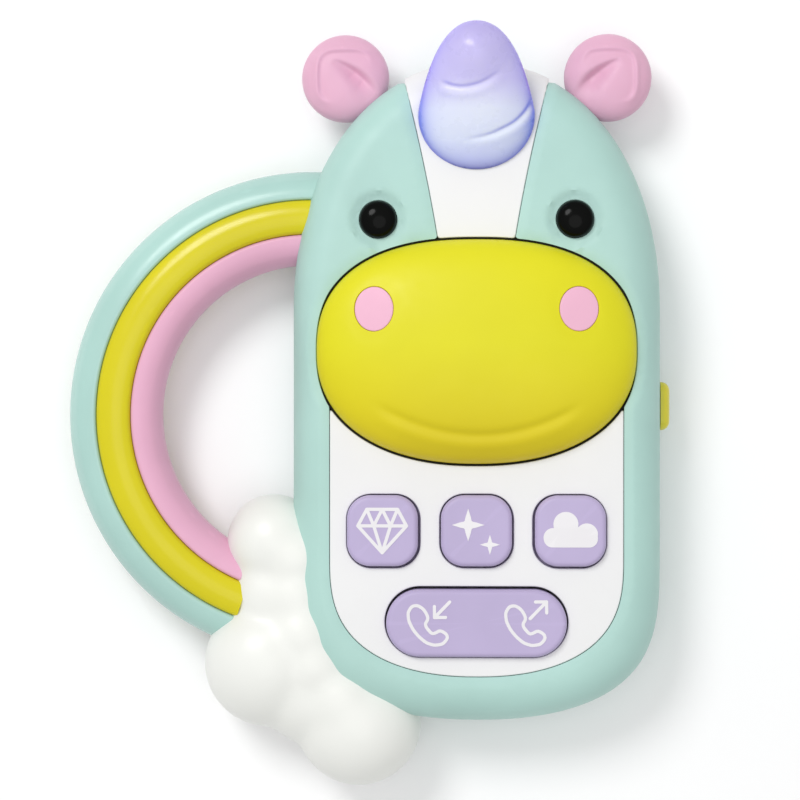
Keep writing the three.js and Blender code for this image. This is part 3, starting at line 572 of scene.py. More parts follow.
def sheet(surface, loops, edges, thickness, spacing=STEP, sink=0.0, shape=None):
    """A moulded sheet that lies on a surface, with holes and rounded edges. loops are the outer edge and the
    holes, unrolled, and edges their rounding radii, each one number or one for each point.
    shape(points) gives how far the surface is pressed in."""
    radii = [np.broadcast_to(np.asarray(r, float), len(loop)).copy() for loop, r in zip(loops, edges)]

    def edge_distance(points):
        distance, radius = np.full(len(points), 1e9), np.ones(len(points))
        for loop, r in zip(loops, radii):
            d, i, t = nearest(loop, points)
            closer = d < distance
            distance[closer] = d[closer]
            radius[closer] = (r[i] * (1 - t) + r[(i + 1) % len(r)] * t)[closer]
        return distance, radius

    extra = []
    for number, (loop, r) in enumerate(zip(loops, radii)):
        inward = normals(loop) * (-1 if number == 0 else 1)
        if np.sum(loop[:, 0] * np.roll(loop[:, 1], -1) - loop[:, 1] * np.roll(loop[:, 0], -1)) < 0:
            inward = -inward
        for step in (0.06, 0.2, 0.42, 0.7, 1.0, 1.6):
            row = loop + inward * (r * step)[:, None]
            row = row[within(loops, row)]
            distance, radius = edge_distance(row)
            extra.append(row[distance > radius * step * 0.93])
    grid = shifted_rows(loops[0], spacing)
    grid = grid[within(loops, grid)]
    distance, radius = edge_distance(grid)
    extra.append(grid[distance > radius * 1.6 + spacing * 0.45])
    plan, faces = net(loops, np.vstack(extra))
    faces = faces[within(loops, plan[faces].mean(axis=1))]

    distance, radius = edge_distance(plan)
    short = clamped(1 - distance / radius)
    drop = radius * (1 - np.sqrt(clamped(1 - short ** 2))) + sink
    if shape is not None:
        drop = drop + shape(plan)
    top = surface.lift(plan, drop)
    bottom = surface.lift(plan, np.full(len(plan), thickness + sink))
    return solid(top, bottom, faces[:, ::-1] if surface.side < 0 else faces)


# ---- handset shells ----
HANDSET = handset_outline(HEAD)
FRONT = Shell(HANDSET, FACE_EDGE, FACE, 1)
PLATE = Shell(handset_outline(CREST), FACE_EDGE, FACE - PLATE_DROP, 1)
BACK = Shell(HANDSET, BACK_EDGE, 0.0, -1)


def blaze_half(y, grow):
    """Half width of the white blaze at a height on the face."""
    rise = y - BLAZE_Y
    return BLAZE_HALF + BLAZE_SLOPE * rise + BLAZE_CURVE * rise ** 2 + grow


def blaze_side(shell, grow):
    """Right edge of the blaze from the snout up over the crest to the parting line, unrolled."""
    y = np.concatenate([np.linspace(SNOUT_Y + SNOUT_HALF[1] - 6, 68, 90), np.linspace(68.05, 90, 500)])
    plan = np.column_stack([blaze_half(y, grow), y])
    outline = shell.core + shell.normal * (shell.radius - 0.02)
    plan = plan[: int(np.argmin(inside(outline, plan)))]
    foot, normal, _ = shell.foot(plan[-1:])
    path = np.vstack([shell.unroll(plan), foot + normal * (shell.quarter + shell.wall)])
    return path[~inside(snout_loop(SNOUT_GAP), path)]


def panel_side(grow):
    """Right half of the panel's edge, from the snout down and round the bottom to the middle."""
    part = {"centre": PANEL["centre"], "height": PANEL["height"] + grow, "power": PANEL["power"]}
    curve = arch(PANEL["half"] + grow, part, 0, -math.pi)
    rise = np.column_stack([np.full(60, curve[0, 0]), np.linspace(SNOUT_Y, curve[0, 1], 60)])
    path = np.vstack([rise, curve[: len(curve) // 2], [[0, PANEL["centre"] - PANEL["height"] - grow]]])
    return path[~inside(snout_loop(SNOUT_GAP), path)]


def snout_edge(grow, angle):
    return superellipse(0, SNOUT_Y, np.add(SNOUT_HALF, grow), SNOUT_POWER[0], angle, SNOUT_POWER[1])


def snout_loop(grow, count=360):
    return snout_edge(grow, round_angles(count))


def snout_run(grow, start, end):
    """Part of the snout's edge, from the start angle to the end angle, in degrees."""
    return snout_edge(grow, np.radians(np.linspace(start, end, 200)))


def mirrored(path):
    """The path's mirror image, run the other way."""
    return path[::-1] * [-1, 1]


def front_cover_loop():
    """The cover's edge: round the parting line, then down the blaze, round the snout and round the panel."""
    side = blaze_side(FRONT, 0.0)
    panel = panel_side(0.0)
    snout = snout_run(SNOUT_GAP, 90, -90)
    snout = snout[(snout[:, 0] > side[0, 0]) | (snout[:, 1] < SNOUT_Y)]
    snout = snout[snout[:, 1] > panel[0, 1]]
    right = np.vstack([side[::-1], snout, panel])
    rim = FRONT.rim
    below_blaze = (rim[:, 1] < side[-1, 1] - 0.3) | (rim[:, 1] < 40)
    angle = np.unwrap(np.arctan2(rim[:, 1], rim[:, 0]))
    start = math.atan2(side[-1, 1], side[-1, 0])
    order = np.argsort((angle - start) % (2 * math.pi))
    rim = rim[order][below_blaze[order]]
    return evenly(np.vstack([right, mirrored(right)[1:], rim[::-1]])[::-1], 0.55)


def dish(points):
    """The shallow dish round each eye."""
    pressed = np.zeros(len(points))
    for side in (1, -1):
        distance = np.hypot(points[:, 0] - side * EYE["x"], points[:, 1] - EYE["y"])
        pressed += ease((EYE["socket"] + 0.5 - distance) / 1.3)
    return pressed


def front_cover():
    loop = front_cover_loop()
    radii = np.full(len(loop), 0.62)
    radii[FRONT.foot(loop)[2] > FRONT.quarter + 2] = 0.3
    eyes = [disc(side * EYE["x"], EYE["y"], EYE["radius"] + 0.12, 60)[::-1] for side in (1, -1)]
    piece("front_cover", sheet(FRONT, [loop] + eyes, [radii, 0.2, 0.2], WALL, shape=dish), "mint_shell")


# ---- face plate ----
# how far each key sits off the middle of its hole
KEY_HOLE_SHIFT = {-1: (0.2, -0.15), 0: (0.05, -0.1), 1: (-0.2, -0.15)}


def blaze_island():
    side = blaze_side(PLATE, -0.12)
    crest = PLATE.rim
    crest = crest[(np.abs(crest[:, 0]) < side[-1, 0] - 0.3) & (crest[:, 1] > 40)]
    crest = crest[np.argsort(-crest[:, 0])]
    arc = snout_run(SNOUT_GAP, 90, 0)
    arc = arc[arc[:, 0] < side[0, 0] - 0.2]
    arc = np.vstack([arc[::-1], arc[1:] * [-1, 1]])
    loop = evenly(np.vstack([side, crest, mirrored(side), arc[::-1]]), 0.5)
    return sheet(PLATE, [loop], [0.3], PLATE_WALL)


def panel_island():
    right = panel_side(-0.12)
    arc = snout_run(SNOUT_GAP, 0, -90)
    arc = arc[(arc[:, 1] < right[0, 1]) & (arc[:, 0] > 0)]
    loop = evenly(np.vstack([arc, mirrored(arc), right[:-1] * [-1, 1], right[::-1]]), 0.5)
    half = KEY_HALF + KEY_GAP
    holes = [
        rounded_rect(step * KEY_PITCH + dx, KEY_Y + dy, (half, half), KEY_CORNER + KEY_GAP)
        for step, (dx, dy) in KEY_HOLE_SHIFT.items()
    ]
    call_half = (CALL_HALF[0] + 0.4, CALL_HALF[1] + 0.5)
    holes.append(rounded_rect(0, CALL_Y + 0.2, call_half, call_half[1], 40))
    return sheet(PLATE, [loop] + [evenly(hole[::-1], 0.6) for hole in holes], [0.3] * 5, PLATE_WALL)


def collar():
    """Ring under the cover that joins the two parts of the face plate."""
    low, high, near, far = 20.4, 22.2, 1.2, 3.2
    corners = ((near, low), (far, low), (far, high), (near, high))
    return tube([at_height(snout_loop(grow, 120), z) for grow, z in corners])


def face_plate():
    piece("face_plate", join_parts(blaze_island(), panel_island(), collar()), "white_plate")


# ---- snout ----
class Dome:
    """The snout's pillow shape, unrolled: scale 1 is the edge of the pillow and beyond it lies the skirt."""
    stretch, fullness = 1.18, 2.3
    skirt_length = 26.0

    def __init__(self):
        self.side = 1
        self.middle = np.array([0, SNOUT_Y])

    def size(self, points):
        x, y = ((points - self.middle) / SNOUT_HALF).T
        p = np.where(y >= 0, SNOUT_POWER[0], SNOUT_POWER[1])
        return (np.abs(x) ** p + np.abs(y) ** p) ** (1 / p)

    def unroll(self, plan):
        r = np.maximum(self.size(plan), 1e-9)
        scale = np.arcsin(clamped(r)) * 2 / math.pi * self.stretch / r
        return self.middle + (plan - self.middle) * scale[:, None]

    def surface(self, points):
        s = np.maximum(self.size(points), 1e-9) / self.stretch
        angle = np.minimum(s, 1) * QUARTER
        plan = self.middle + (points - self.middle) * (np.sin(angle) / (s * self.stretch))[:, None]
        height = np.cos(angle) ** (2 / self.fullness) * (SNOUT_CROWN - SNOUT_EDGE)
        return np.column_stack([plan, SNOUT_EDGE + height - np.maximum(s - 1, 0) * self.skirt_length])

    def lift(self, points, drop):
        points = np.where(np.abs(points - self.middle) < 1e-6, self.middle + 1e-6, points)
        base, step = self.surface(points), 0.05
        across = self.surface(points + [step, 0]) - self.surface(points - [step, 0])
        along = self.surface(points + [0, step]) - self.surface(points - [0, step])
        return base - unit(np.cross(across, along)) * np.asarray(drop)[:, None]


DOME = Dome()
SMILE = np.array([(-26.5, -2.0), (-16.7, -7.1), (0.0, -10.6), (17.2, -7.4), (27.0, -2.2)])


def smile_line():
    """The smile as a smooth curve through its points, in plan."""
    x = np.linspace(SMILE[0, 0], SMILE[-1, 0], 160)
    return np.column_stack([x, np.polyval(np.polyfit(SMILE[:, 0], SMILE[:, 1], 4), x)])


def snout_relief(points):
    """How far the snout is pressed in by the smile and the hollows of the nostrils."""
    above, place = beside(DOME.unroll(smile_line()), points)
    groove = 0.55 * np.exp(-(above / 1.25) ** 2) - 0.18 * np.exp(-((above + 3.0) / 1.9) ** 2)
    pressed = groove * ease((1 - np.abs(place * 2 - 1)) / 0.28)
    for side in (1, -1):
        place = DOME.unroll(np.array([[side * NOSTRIL["x"], NOSTRIL["y"]]]))[0]
        reach = np.hypot(*((points - place) / NOSTRIL["half"]).T)
        pressed += 0.14 * np.exp(-(np.maximum(reach - 1, 0) / 0.3) ** 2)
    return pressed


def nostril_loop(side, grow):
    half = np.add(NOSTRIL["half"], grow)
    return DOME.unroll(superellipse(side * NOSTRIL["x"], NOSTRIL["y"], half, 2, round_angles(80)))


def snout_button():
    rim = evenly(DOME.middle + (snout_loop(0.0) - DOME.middle) * DOME.stretch * 1.155, 0.7)
    holes = [nostril_loop(side, 0.04)[::-1] for side in (1, -1)]
    skin = sheet(DOME, [rim] + holes, [0.3, 0.16, 0.16], 1.6, spacing=0.8, shape=snout_relief)
    piece("snout_button", skin, "snout_yellow", "snout")
    for side, label in SIDES:
        skin = sheet(DOME, [nostril_loop(side, -0.03)], [0.3], 1.6, spacing=0.7, sink=0.2)
        piece(label + "_nostril", skin, "nostril_pink", "snout")


def snout_seal():
    """Black rubber lip in the gap round the snout: partly a real seal, partly painted shade, its black
    standing in for the deep shade of the gap. It follows the cover's surface, a little below it.
    """
    outer, inner = snout_loop(SNOUT_GAP - 0.03, 300), snout_loop(0.06, 300)
    top = FRONT.lift(FRONT.unroll(outer), 1.0)[:, 2]
    rings = [at_height(inner, 20.6), at_height(outer, 20.6)]
    rings += [at_height(outer, top), at_height(inner, top - 0.25)]
    piece("snout_seal", tube(rings), "seal_black")


# ---- keys ----
def moulded_key(x, y, half, corner, count, flange=0.0):
    """A key with a rounded upper edge, and a flange at its foot."""
    def ring(inset, z):
        return at_height(rounded_rect(x, y, np.subtract(half, inset), corner - inset, count), z)

    step = KEY_BOTTOM + 1.1
    rings = [ring(-flange, KEY_BOTTOM), ring(-flange, step), ring(0, step)]
    for angle in np.linspace(0, QUARTER, 9):
        rings.append(ring(KEY_FILLET * (1 - math.cos(angle)), KEY_TOP - KEY_FILLET * (1 - math.sin(angle))))
    last = ring(KEY_FILLET + 0.8, KEY_TOP)
    middle = last.mean(axis=0)
    return stacked(rings + [middle + (last - middle) * part for part in (1, 0.8, 0.6, 0.4, 0.2)])


def filled(shapes, low, high):
    """A flat relief over the area of the shapes."""
    plan, faces = net(shapes)
    middle = plan[faces].mean(axis=1)
    keep = np.any([inside(shape, middle) for shape in shapes], axis=0)
    return solid(at_height(plan, high), at_height(plan, low), faces[keep])


def stroke(points, width):
    """Outline of a line of that width with round ends, as one shape for each straight part."""
    shapes = []
    for start, end in zip(np.asarray(points[:-1], float), np.asarray(points[1:], float)):
        angle = math.atan2(*(end - start)[::-1])
        turn = np.linspace(-QUARTER, QUARTER, 9)
        cap = circle(turn + angle) * width / 2
        shapes.append(np.vstack([end + cap, start - cap]))
    return shapes


def gem_shapes():
    """Cut gem seen from the side: crown, girdle and lower facets, drawn with lines."""
    half, top, low, girdle, crown, facet = 5.95, 5.3, -5.3, 1.25, 3.75, 2.05
    lines = [
        [(-half, girdle), (-crown, top), (crown, top), (half, girdle), (0, low), (-half, girdle)],
        [(-half, girdle), (half, girdle)],
        [(-crown, top), (-facet, girdle), (0, top), (facet, girdle), (crown, top)],
        [(-facet, girdle), (0, low)],
        [(facet, girdle), (0, low)],
    ]
    return [shape for line in lines for shape in stroke(line, 0.82)]


def star(x, y, reach, waist=0.33):
    """Four-pointed sparkle with hollow sides."""
    points = []
    for k in range(4):
        for t in np.linspace(0, 1, 12, endpoint=False):
            angle = (k + t) * QUARTER
            bend = abs(math.sin(2 * angle))
            points.append((angle, reach * (1 - (1 - waist) * bend ** 0.62)))
    return np.array([(x + r * math.cos(a), y + r * math.sin(a)) for a, r in points])


def cloud_shapes():
    """Small cloud with a flat foot and three lobes."""
    foot = rounded_rect(0, -2.1, (6.6, 2.2), 2.15)
    filling = rounded_rect(0, -0.9, (4, 1.6), 0.8)
    return [foot, disc(-4.3, -1.9, 2.35), disc(-1.2, 1.35, 3.05), disc(3.9, -1.1, 2.7), filling]


HANDSET_LINE = [
    (-4.4, 4.1), (-5.3, 2.6), (-5.1, 0.6), (-4.1, -1.4), (-2.7, -3.1), (-1.0, -4.5), (0.9, -5.1), (2.9, -4.8),
    (4.1, -3.4), (3.8, -2.4), (2.2, -1.5), (1.4, -2.1), (0.4, -2.5), (-1.0, -0.9), (-1.3, 0.0), (-0.5, 1.0),
    (-0.7, 1.9), (-1.6, 3.4), (-3.0, 4.3),
]


def handset_shapes():
    line = evenly(HANDSET_LINE, 0.35)
    for _ in range(3):
        line = (np.roll(line, 1, axis=0) + line * 2 + np.roll(line, -1, axis=0)) / 4
    return stroke(np.vstack([line, line[:1]]) * 1.04, 0.8)


def arrow_shapes(tail, tip):
    """Arrow with a barbed head."""
    tail, tip = np.array(tail, float), np.array(tip, float)
    along = (tip - tail) / np.linalg.norm(tip - tail)
    across = np.array([-along[1], along[0]])
    barb = [tip - along * 1.9 + across * 1.9, tip, tip - along * 1.9 - across * 1.9]
    return stroke([tail, tip - along * 0.2], 0.8) + stroke(barb, 0.8)


def moved(shapes, x, y):
    return [np.asarray(shape) + [x, y] for shape in shapes]


def icon(name, shapes, body):
    """A raised white picture on a key."""
    relief = filled(shapes, KEY_TOP - 0.25, KEY_TOP + 0.13)
    make_object(name, relief, ICON, body, sharp=30)


def keys():
    pictures = {
        "gem": gem_shapes(),
        "sparkle": [star(-2.0, 1.5, 4.0), star(3.3, -3.3, 2.45)],
        "cloud": moved(cloud_shapes(), 0, 0.35),
    }
    for step, (name, shapes) in zip((-1, 0, 1), pictures.items()):
        x, body = step * KEY_PITCH, name + "_key"
        skin = moulded_key(x, KEY_Y, (KEY_HALF, KEY_HALF), KEY_CORNER, 18, flange=0.9)
        piece(body, skin, "key_lilac", body)
        icon(name + "_picture", moved(shapes, x, KEY_Y), body)
    piece("call_key", moulded_key(0, CALL_Y, CALL_HALF, CALL_HALF[1], 30), "key_lilac", "call_key")
    calls = [("answer", -11.2, -11.6, (5.1, 5.3), (1.4, 1.5)), ("dial", 12.6, 11.9, (1.2, 1.3), (5.2, 5.4))]
    for name, handset_x, arrow_x, tail, tip in calls:
        shapes = moved(handset_shapes(), handset_x, CALL_Y) + moved(arrow_shapes(tail, tip), arrow_x, CALL_Y)
        icon(name + "_picture", shapes, "call_key")


# ---- eyes, ears and horn ----
def eyes():
    """Each eye is a round post with a domed head."""
    radius, low, edge, rise = EYE["radius"], 24.8, 26.5, 2.4
    profile = [(radius, low), (radius, edge)]
    for angle in np.arange(1, 13) / 12.6 * QUARTER:
        profile.append((radius * math.cos(angle) ** 0.9, edge + rise * math.sin(angle)))
    for side, label in SIDES:
        rings = [at_height(disc(side * EYE["x"], EYE["y"], r, 72), z) for r, z in profile]
        piece(label + "_eye", stacked(rings), "eye_black")


def ear_pad(reach):
    """Half thickness of an ear without its relief."""
    return EAR["depth"] * (1 - clamped(reach / EAR["radius"]) ** 3.0) ** (1 / 2.1)


def ear_relief(x, y):
    """What stands on the ear's pad: a bead with a hollow inside it on the far side, less a fold that runs
    down to the head. x grows away from the head."""
    corner = (np.abs(x / 6.9) ** 3.6 + np.abs(y / 6.8) ** 3.6) ** (1 / 3.6)
    bead = 0.46 * np.exp(-((corner - 1.03) / 0.1) ** 2) - 0.34 * ease((1.0 - corner) / 0.16)
    start, end = np.array([3.0, 4.1]), np.array([-6.6, -3.2])
    along = end - start
    length = np.linalg.norm(along)
    t = ((x - start[0]) * along[0] + (y - start[1]) * along[1]) / length ** 2
    across = ((x - start[0]) * along[1] - (y - start[1]) * along[0]) / length
    across = across - 0.9 * (1 - (2 * t - 1) ** 2)
    width = np.where(across > 0, 0.75, 2.0) * (0.6 + 1.2 * clamped(t))
    depth = 2.3 * clamped(t / 0.5) * clamped((1.25 - t) / 0.5)
    return bead * ease((x + y + 5.0) / 8.0) - depth * np.exp(-(across / width) ** 2)


def ears():
    """Each ear is a padded disc, cut where it meets the head."""
    head = HANDSET + normals(HANDSET) * 0.15
    ray = circle(round_angles(160))
    reach = np.linspace(0, EAR["radius"], 400)
    for side, label in SIDES:
        centre = np.array([side * EAR["x"], EAR["y"]])
        limit = np.array([reach[~inside(head, centre + reach[:, None] * r)].max() for r in ray])
        lower, upper = [], []
        for step in np.sin(np.linspace(0, 1, 60)[1:] * QUARTER) ** 0.9:
            offset = ray * (limit * step)[:, None]
            pad = ear_pad(limit * step)
            relief = ear_relief(side * offset[:, 0], offset[:, 1])
            lower.append(at_height(centre + offset, SPLIT - pad))
            upper.append(at_height(centre + offset, SPLIT + pad + relief))
        piece(label + "_ear", stacked(lower + upper[::-1]), "ear_pink", sharp=50)


TIP_RADIUS, TIP_EASE = 8.1, 1.3  # from this radius on the horn hardly leans any further

# two soft grooves that wind round the horn, as seen from the front; each fades towards one end
HORN_GROOVES = [
    ([(-8.9, 74.9), (-6.4, 73.6), (-3.4, 73.1), (0.0, 73.6), (3.2, 75.0), (6.0, 77.3)], 0.38, 0.15),
    ([(14.6, 72.6), (13.6, 70.4), (11.8, 67.4), (9.0, 64.8), (3.4, 62.2), (-3.2, 61.0)], 0.35, 0.1),
]


def groove_push(plan, points, deep, ridge):
    """Depth of a groove and height of the ridge below it, at places in plan."""
    line = evenly(points, 0.3, closed=False)
    for _ in range(20):
        line[1:-1] = (line[:-2] + line[2:]) / 2
    signed, place = beside(line, plan.reshape(-1, 2))
    fade = clamped(place / 0.12) * clamped((1 - place) / 0.45) ** 0.7
    push = ridge * np.exp(-((signed + 1.5) / 1.0) ** 2) - deep * np.exp(-(signed / 0.6) ** 2)
    return (push * fade).reshape(plan.shape[:-1])


def horn():
    """Leaning cone with a bulging foot, a round tip and two soft grooves that wind round it."""
    angle = round_angles(240)
    height = np.concatenate([np.linspace(0, 0.9, 130)[:-1], 1 - 0.1 * np.linspace(1, 0, 46)[:-1] ** 1.8])
    radius = HORN["radius"] * (1 - height ** 1.6) ** (1 / 1.7)
    middle = HORN["y"] + HORN["lean"] * (1 - (np.maximum(radius, TIP_RADIUS) / HORN["radius"]) ** 3.3)
    middle += TIP_EASE * (1 - np.exp(np.minimum(radius - TIP_RADIUS, 0) / TIP_EASE))
    share = radius[:, None] / HORN["radius"]
    squash = np.where(np.sin(angle)[None] < 0, 1 - 0.075 * share ** 4, 1 - 0.24 * share ** 9)
    grid = np.empty((len(height), len(angle), 3))
    grid[..., 0] = radius[:, None] * np.cos(angle)
    grid[..., 1] = middle[:, None] + radius[:, None] * np.sin(angle) * squash
    ground = PLATE.lift(PLATE.unroll(grid[0, :, :2]), np.zeros(len(angle)))[:, 2] + 0.1
    grid[..., 2] = ground + (HORN["top"] - ground) * height[:, None]
    normal = unit(np.cross(np.roll(grid, -1, axis=1) - np.roll(grid, 1, axis=1), np.gradient(grid, axis=0)))
    facing = clamped((normal[..., 2] - 0.02) / 0.2)
    push = sum(groove_push(grid[..., :2], *groove) for groove in HORN_GROOVES)
    grid = grid + normal * (push * facing)[..., None]
    piece("horn", stacked(list(grid)), "horn_lilac", sharp=60)


# ---- grip and cloud ----
# name, material, inner and outer radius, the angle where it ends, its own bulge, and its seams (inner, outer)
BANDS = [
    ("grip_outer_band", "grip_mint", 53.38, 60.7, 252, 0.4, (True, False)),
    ("grip_middle_band", "grip_yellow", 44.82, 53.3, 250, 1.0, (True, True)),
    ("grip_inner_band", "grip_pink", 37.4, 44.74, 247, 0.5, (False, True)),
]
SEAM_ROUND = 0.9


def band_section(inner, outer, bulge, seams):
    """Half thickness across a band: a share of one low arch over the whole grip, its own bulge, and rounded
    seams."""
    reach = (inner + outer) / 2 - (outer - inner) / 2 * np.cos(np.linspace(0, math.pi, 44))
    across = clamped(np.abs(reach - GRIP["middle"]) / GRIP["half"])
    height = GRIP["depth"] * (1 - across ** 2.4) ** (1 / 2.1)
    own = 2 * (reach - inner) / (outer - inner) - 1
    height += bulge * (1 - own ** 2) * clamped((1 - across) / 0.2)
    for seam, distance in zip(seams, (reach - inner, outer - reach)):
        if seam:
            short = clamped(1 - distance / SEAM_ROUND)
            height -= SEAM_ROUND * (1 - np.sqrt(1 - short ** 2))
    return reach, np.maximum(height, 0.03)


def grip():
    for name, slot, inner, outer, end, bulge, seams in BANDS:
        reach, height = band_section(inner, outer, bulge, seams)
        reach = np.concatenate([reach[::-1], reach])
        height = np.concatenate([height[::-1], -height])
        rings = [
            at_height(np.outer(reach, ray) + [GRIP["x"], GRIP["y"]], SPLIT + height)
            for ray in circle(np.radians(np.linspace(end, 84, 170)))
        ]
        piece(name, stacked(rings), slot, sharp=60)


def handset_solid(inset):
    """The whole handset as one solid, a little smaller than its skin."""
    side = normals(HANDSET)
    rings = []
    for edge, middle, way in ((BACK_EDGE, BACK_EDGE, -1), (FACE_EDGE, FACE - FACE_EDGE, 1)):
        radius = edge - inset
        part = []
        for a in np.linspace(0, QUARTER, 12):
            outline = HANDSET - side * (edge - radius * math.cos(a))
            part.append(at_height(outline, middle + way * radius * math.sin(a)))
        rings += part[::-1] if way < 0 else part
    vertices, faces = stacked(rings)
    mesh = bpy.data.meshes.new("handset solid")
    mesh.from_pydata(vertices.tolist(), [], faces)
    return linked("handset solid", mesh)


def cloud_skin():
    """Rounded lobes grown together into one skin and cut to the handset."""
    shape = bmesh.new()
    for x, y, z, radius, flatten in LOBES + SHOULDERS:
        place = Matrix.Translation((x, y, z)) @ Matrix.Diagonal((1, 1, flatten, 1))
        bmesh.ops.create_uvsphere(shape, u_segments=64, v_segments=32, radius=radius, matrix=place)
    mesh = bpy.data.meshes.new("cloud lobes")
    shape.to_mesh(mesh)
    shape.free()
    blob = linked("cloud lobes", mesh)
    remesh = blob.modifiers.new("skin", "REMESH")
    remesh.mode, remesh.voxel_size = "VOXEL", 0.6
    smooth = blob.modifiers.new("soften", "SMOOTH")
    smooth.factor, smooth.iterations = 0.5, 90
    handset = handset_solid(0.35)
    cut = blob.modifiers.new("cut to the handset", "BOOLEAN")
    cut.operation, cut.solver, cut.object = "DIFFERENCE", "EXACT", handset
    skin = bpy.data.meshes.new_from_object(blob.evaluated_get(bpy.context.evaluated_depsgraph_get()))
    bpy.data.objects.remove(blob)
    bpy.data.objects.remove(handset)
    return skin


def cloud():
    """The cloud's skin, split along the parting line into a front and a back."""
    skin = cloud_skin()
    for side, label in ((1, "front"), (-1, "back")):
        half = bmesh.new()
        half.from_mesh(skin)
        cut = bmesh.ops.bisect_plane(
            half, geom=half.verts[:] + half.edges[:] + half.faces[:], plane_co=(0, 0, SPLIT + side * 0.05),
            plane_no=(0, 0, -side), clear_outer=True)
        rim = [e for e in cut["geom_cut"] if isinstance(e, bmesh.types.BMEdge)]
        bmesh.ops.triangle_fill(half, edges=rim, use_dissolve=False)
        bmesh.ops.recalc_face_normals(half, faces=half.faces[:])
        half.verts.index_update()
        halved = [tuple(v.co) for v in half.verts], [[v.index for v in f.verts] for f in half.faces]
        half.free()
        piece("cloud_" + label, halved, "cloud_white", sharp=60)


# ---- switch ----
def switch_knob():
    """Yellow thumb piece with a domed face."""
    middle, half, depth, low, reach = -3.4, 6.0, 2.6, HALF_WIDTH + 0.3, 2.35
    rings = []
    for a in np.linspace(0, QUARTER, 12):
        shrink = reach * (1 - math.cos(a))
        y, z = rounded_rect(middle, SPLIT, (half - shrink, depth - shrink), 2.5 - shrink, 14).T
        rings.append(np.column_stack([np.full(len(y), low + reach * math.sin(a) ** 0.8), y, z]))
    piece("switch_knob", stacked(rings), "switch_yellow", "power_knob")


# ---- back ----
SCREWS = [(27, 57), (-27, 57), (40, -22), (-40, -22), (29, -67.5), (-29, -67.5)]
DOOR = {"y": -23, "half": (28.2, 12.6), "low": 0.3, "lug_y": -8, "lug": 4.6}  # low is its outer face
BAY = {"half": (26.7, 11.4), "wall": 1.4, "top": 14.2}
SPEAKER_Y = 28


def door_outline(grow):
    """Rounded rectangle with a round lug for the screw on its upper side."""
    half = np.add(DOOR["half"], grow)
    body = rounded_rect(0, DOOR["y"], half, 2 + grow, 12)
    radius = DOOR["lug"] + grow
    top = DOOR["y"] + half[1]
    sweep = math.asin((top - DOOR["lug_y"]) / radius)
    angle = np.linspace(sweep, math.pi - sweep, 30)
    lug = circle(angle) * radius + [0, DOOR["lug_y"]]
    return evenly(np.vstack([body[:12], lug, body[12:]]), 0.6)


def grille_holes():
    """The middle hole and two rings of holes, for the speaker."""
    rings = [disc(0, SPEAKER_Y, radius, count) for count, radius in ((5, 3.8), (10, 7.8))]
    return np.vstack([[[0, SPEAKER_Y]]] + rings)


def back_cover():
    holes = [disc(x, y, 1.0, 20) for x, y in grille_holes()] + [disc(x, y, 2.9, 40) for x, y in SCREWS]
    holes.append(door_outline(0.3))
    edges = [0.3] + [0.25] * 16 + [0.4] * 6 + [0.35]  # the rim, the grille, the screws and the door
    parts = [sheet(BACK, [evenly(BACK.rim, 0.9)] + [hole[::-1] for hole in holes], edges, WALL)]
    for x, y in SCREWS:
        well = ((2.9, 1.2), (4.0, 1.2), (4.0, 13.8), (1.4, 13.8), (1.4, 3.0), (2.9, 3.0))
        parts.append(tube([at_height(disc(x, y, radius, 40), z) for radius, z in well]))
    wall, low, top = BAY["wall"], 2.4, BAY["top"]
    tray = rounded_rect(0, DOOR["y"], np.add(BAY["half"], wall), 1.5, 8)
    room = rounded_rect(0, DOOR["y"], BAY["half"], 0.8, 8)
    outside = [at_height(room, low), at_height(tray, low), at_height(tray, top + wall)]
    parts.append(stacked(outside, cap_low=False))
    vertices, faces = stacked([at_height(room, low), at_height(room, top)], cap_low=False)
    parts.append((vertices, [f[::-1] for f in faces]))
    piece("back_cover", join_parts(*parts), "mint_shell")


def battery_door():
    hole = disc(0, DOOR["lug_y"], 1.5, 30)[::-1]
    parts = [sheet(
        Plane(DOOR["low"], -1), [door_outline(0.0), hole], [0.35, 0.2], 2.0, shape=door_relief, spacing=0.8)]
    for x in (-14, 14):
        tab = rounded_rect(x, DOOR["y"] - DOOR["half"][1] + 0.2, (3, 1.8), 0.5, 5)
        parts.append(stacked([at_height(tab, 1.9), at_height(tab, 3.4)]))
    piece("battery_door", join_parts(*parts), "mint_shell", "battery_door")


def door_relief(points):
    """Five shallow bars near the door's lower edge, where a thumb holds it, and the seat of the screw."""
    pressed = np.zeros(len(points))
    for offset in (-6, -3, 0, 3, 6):
        inside_bar = clamped((1.0 - np.abs(points[:, 0] - offset)) / 0.5)
        ends = clamped((4.5 - np.abs(points[:, 1] - DOOR["y"])) / 0.6)
        pressed += 0.35 * inside_bar * ends
    seat = clamped((3.1 - np.hypot(points[:, 0], points[:, 1] - DOOR["lug_y"])) / 0.3)
    return pressed + 1.2 * seat


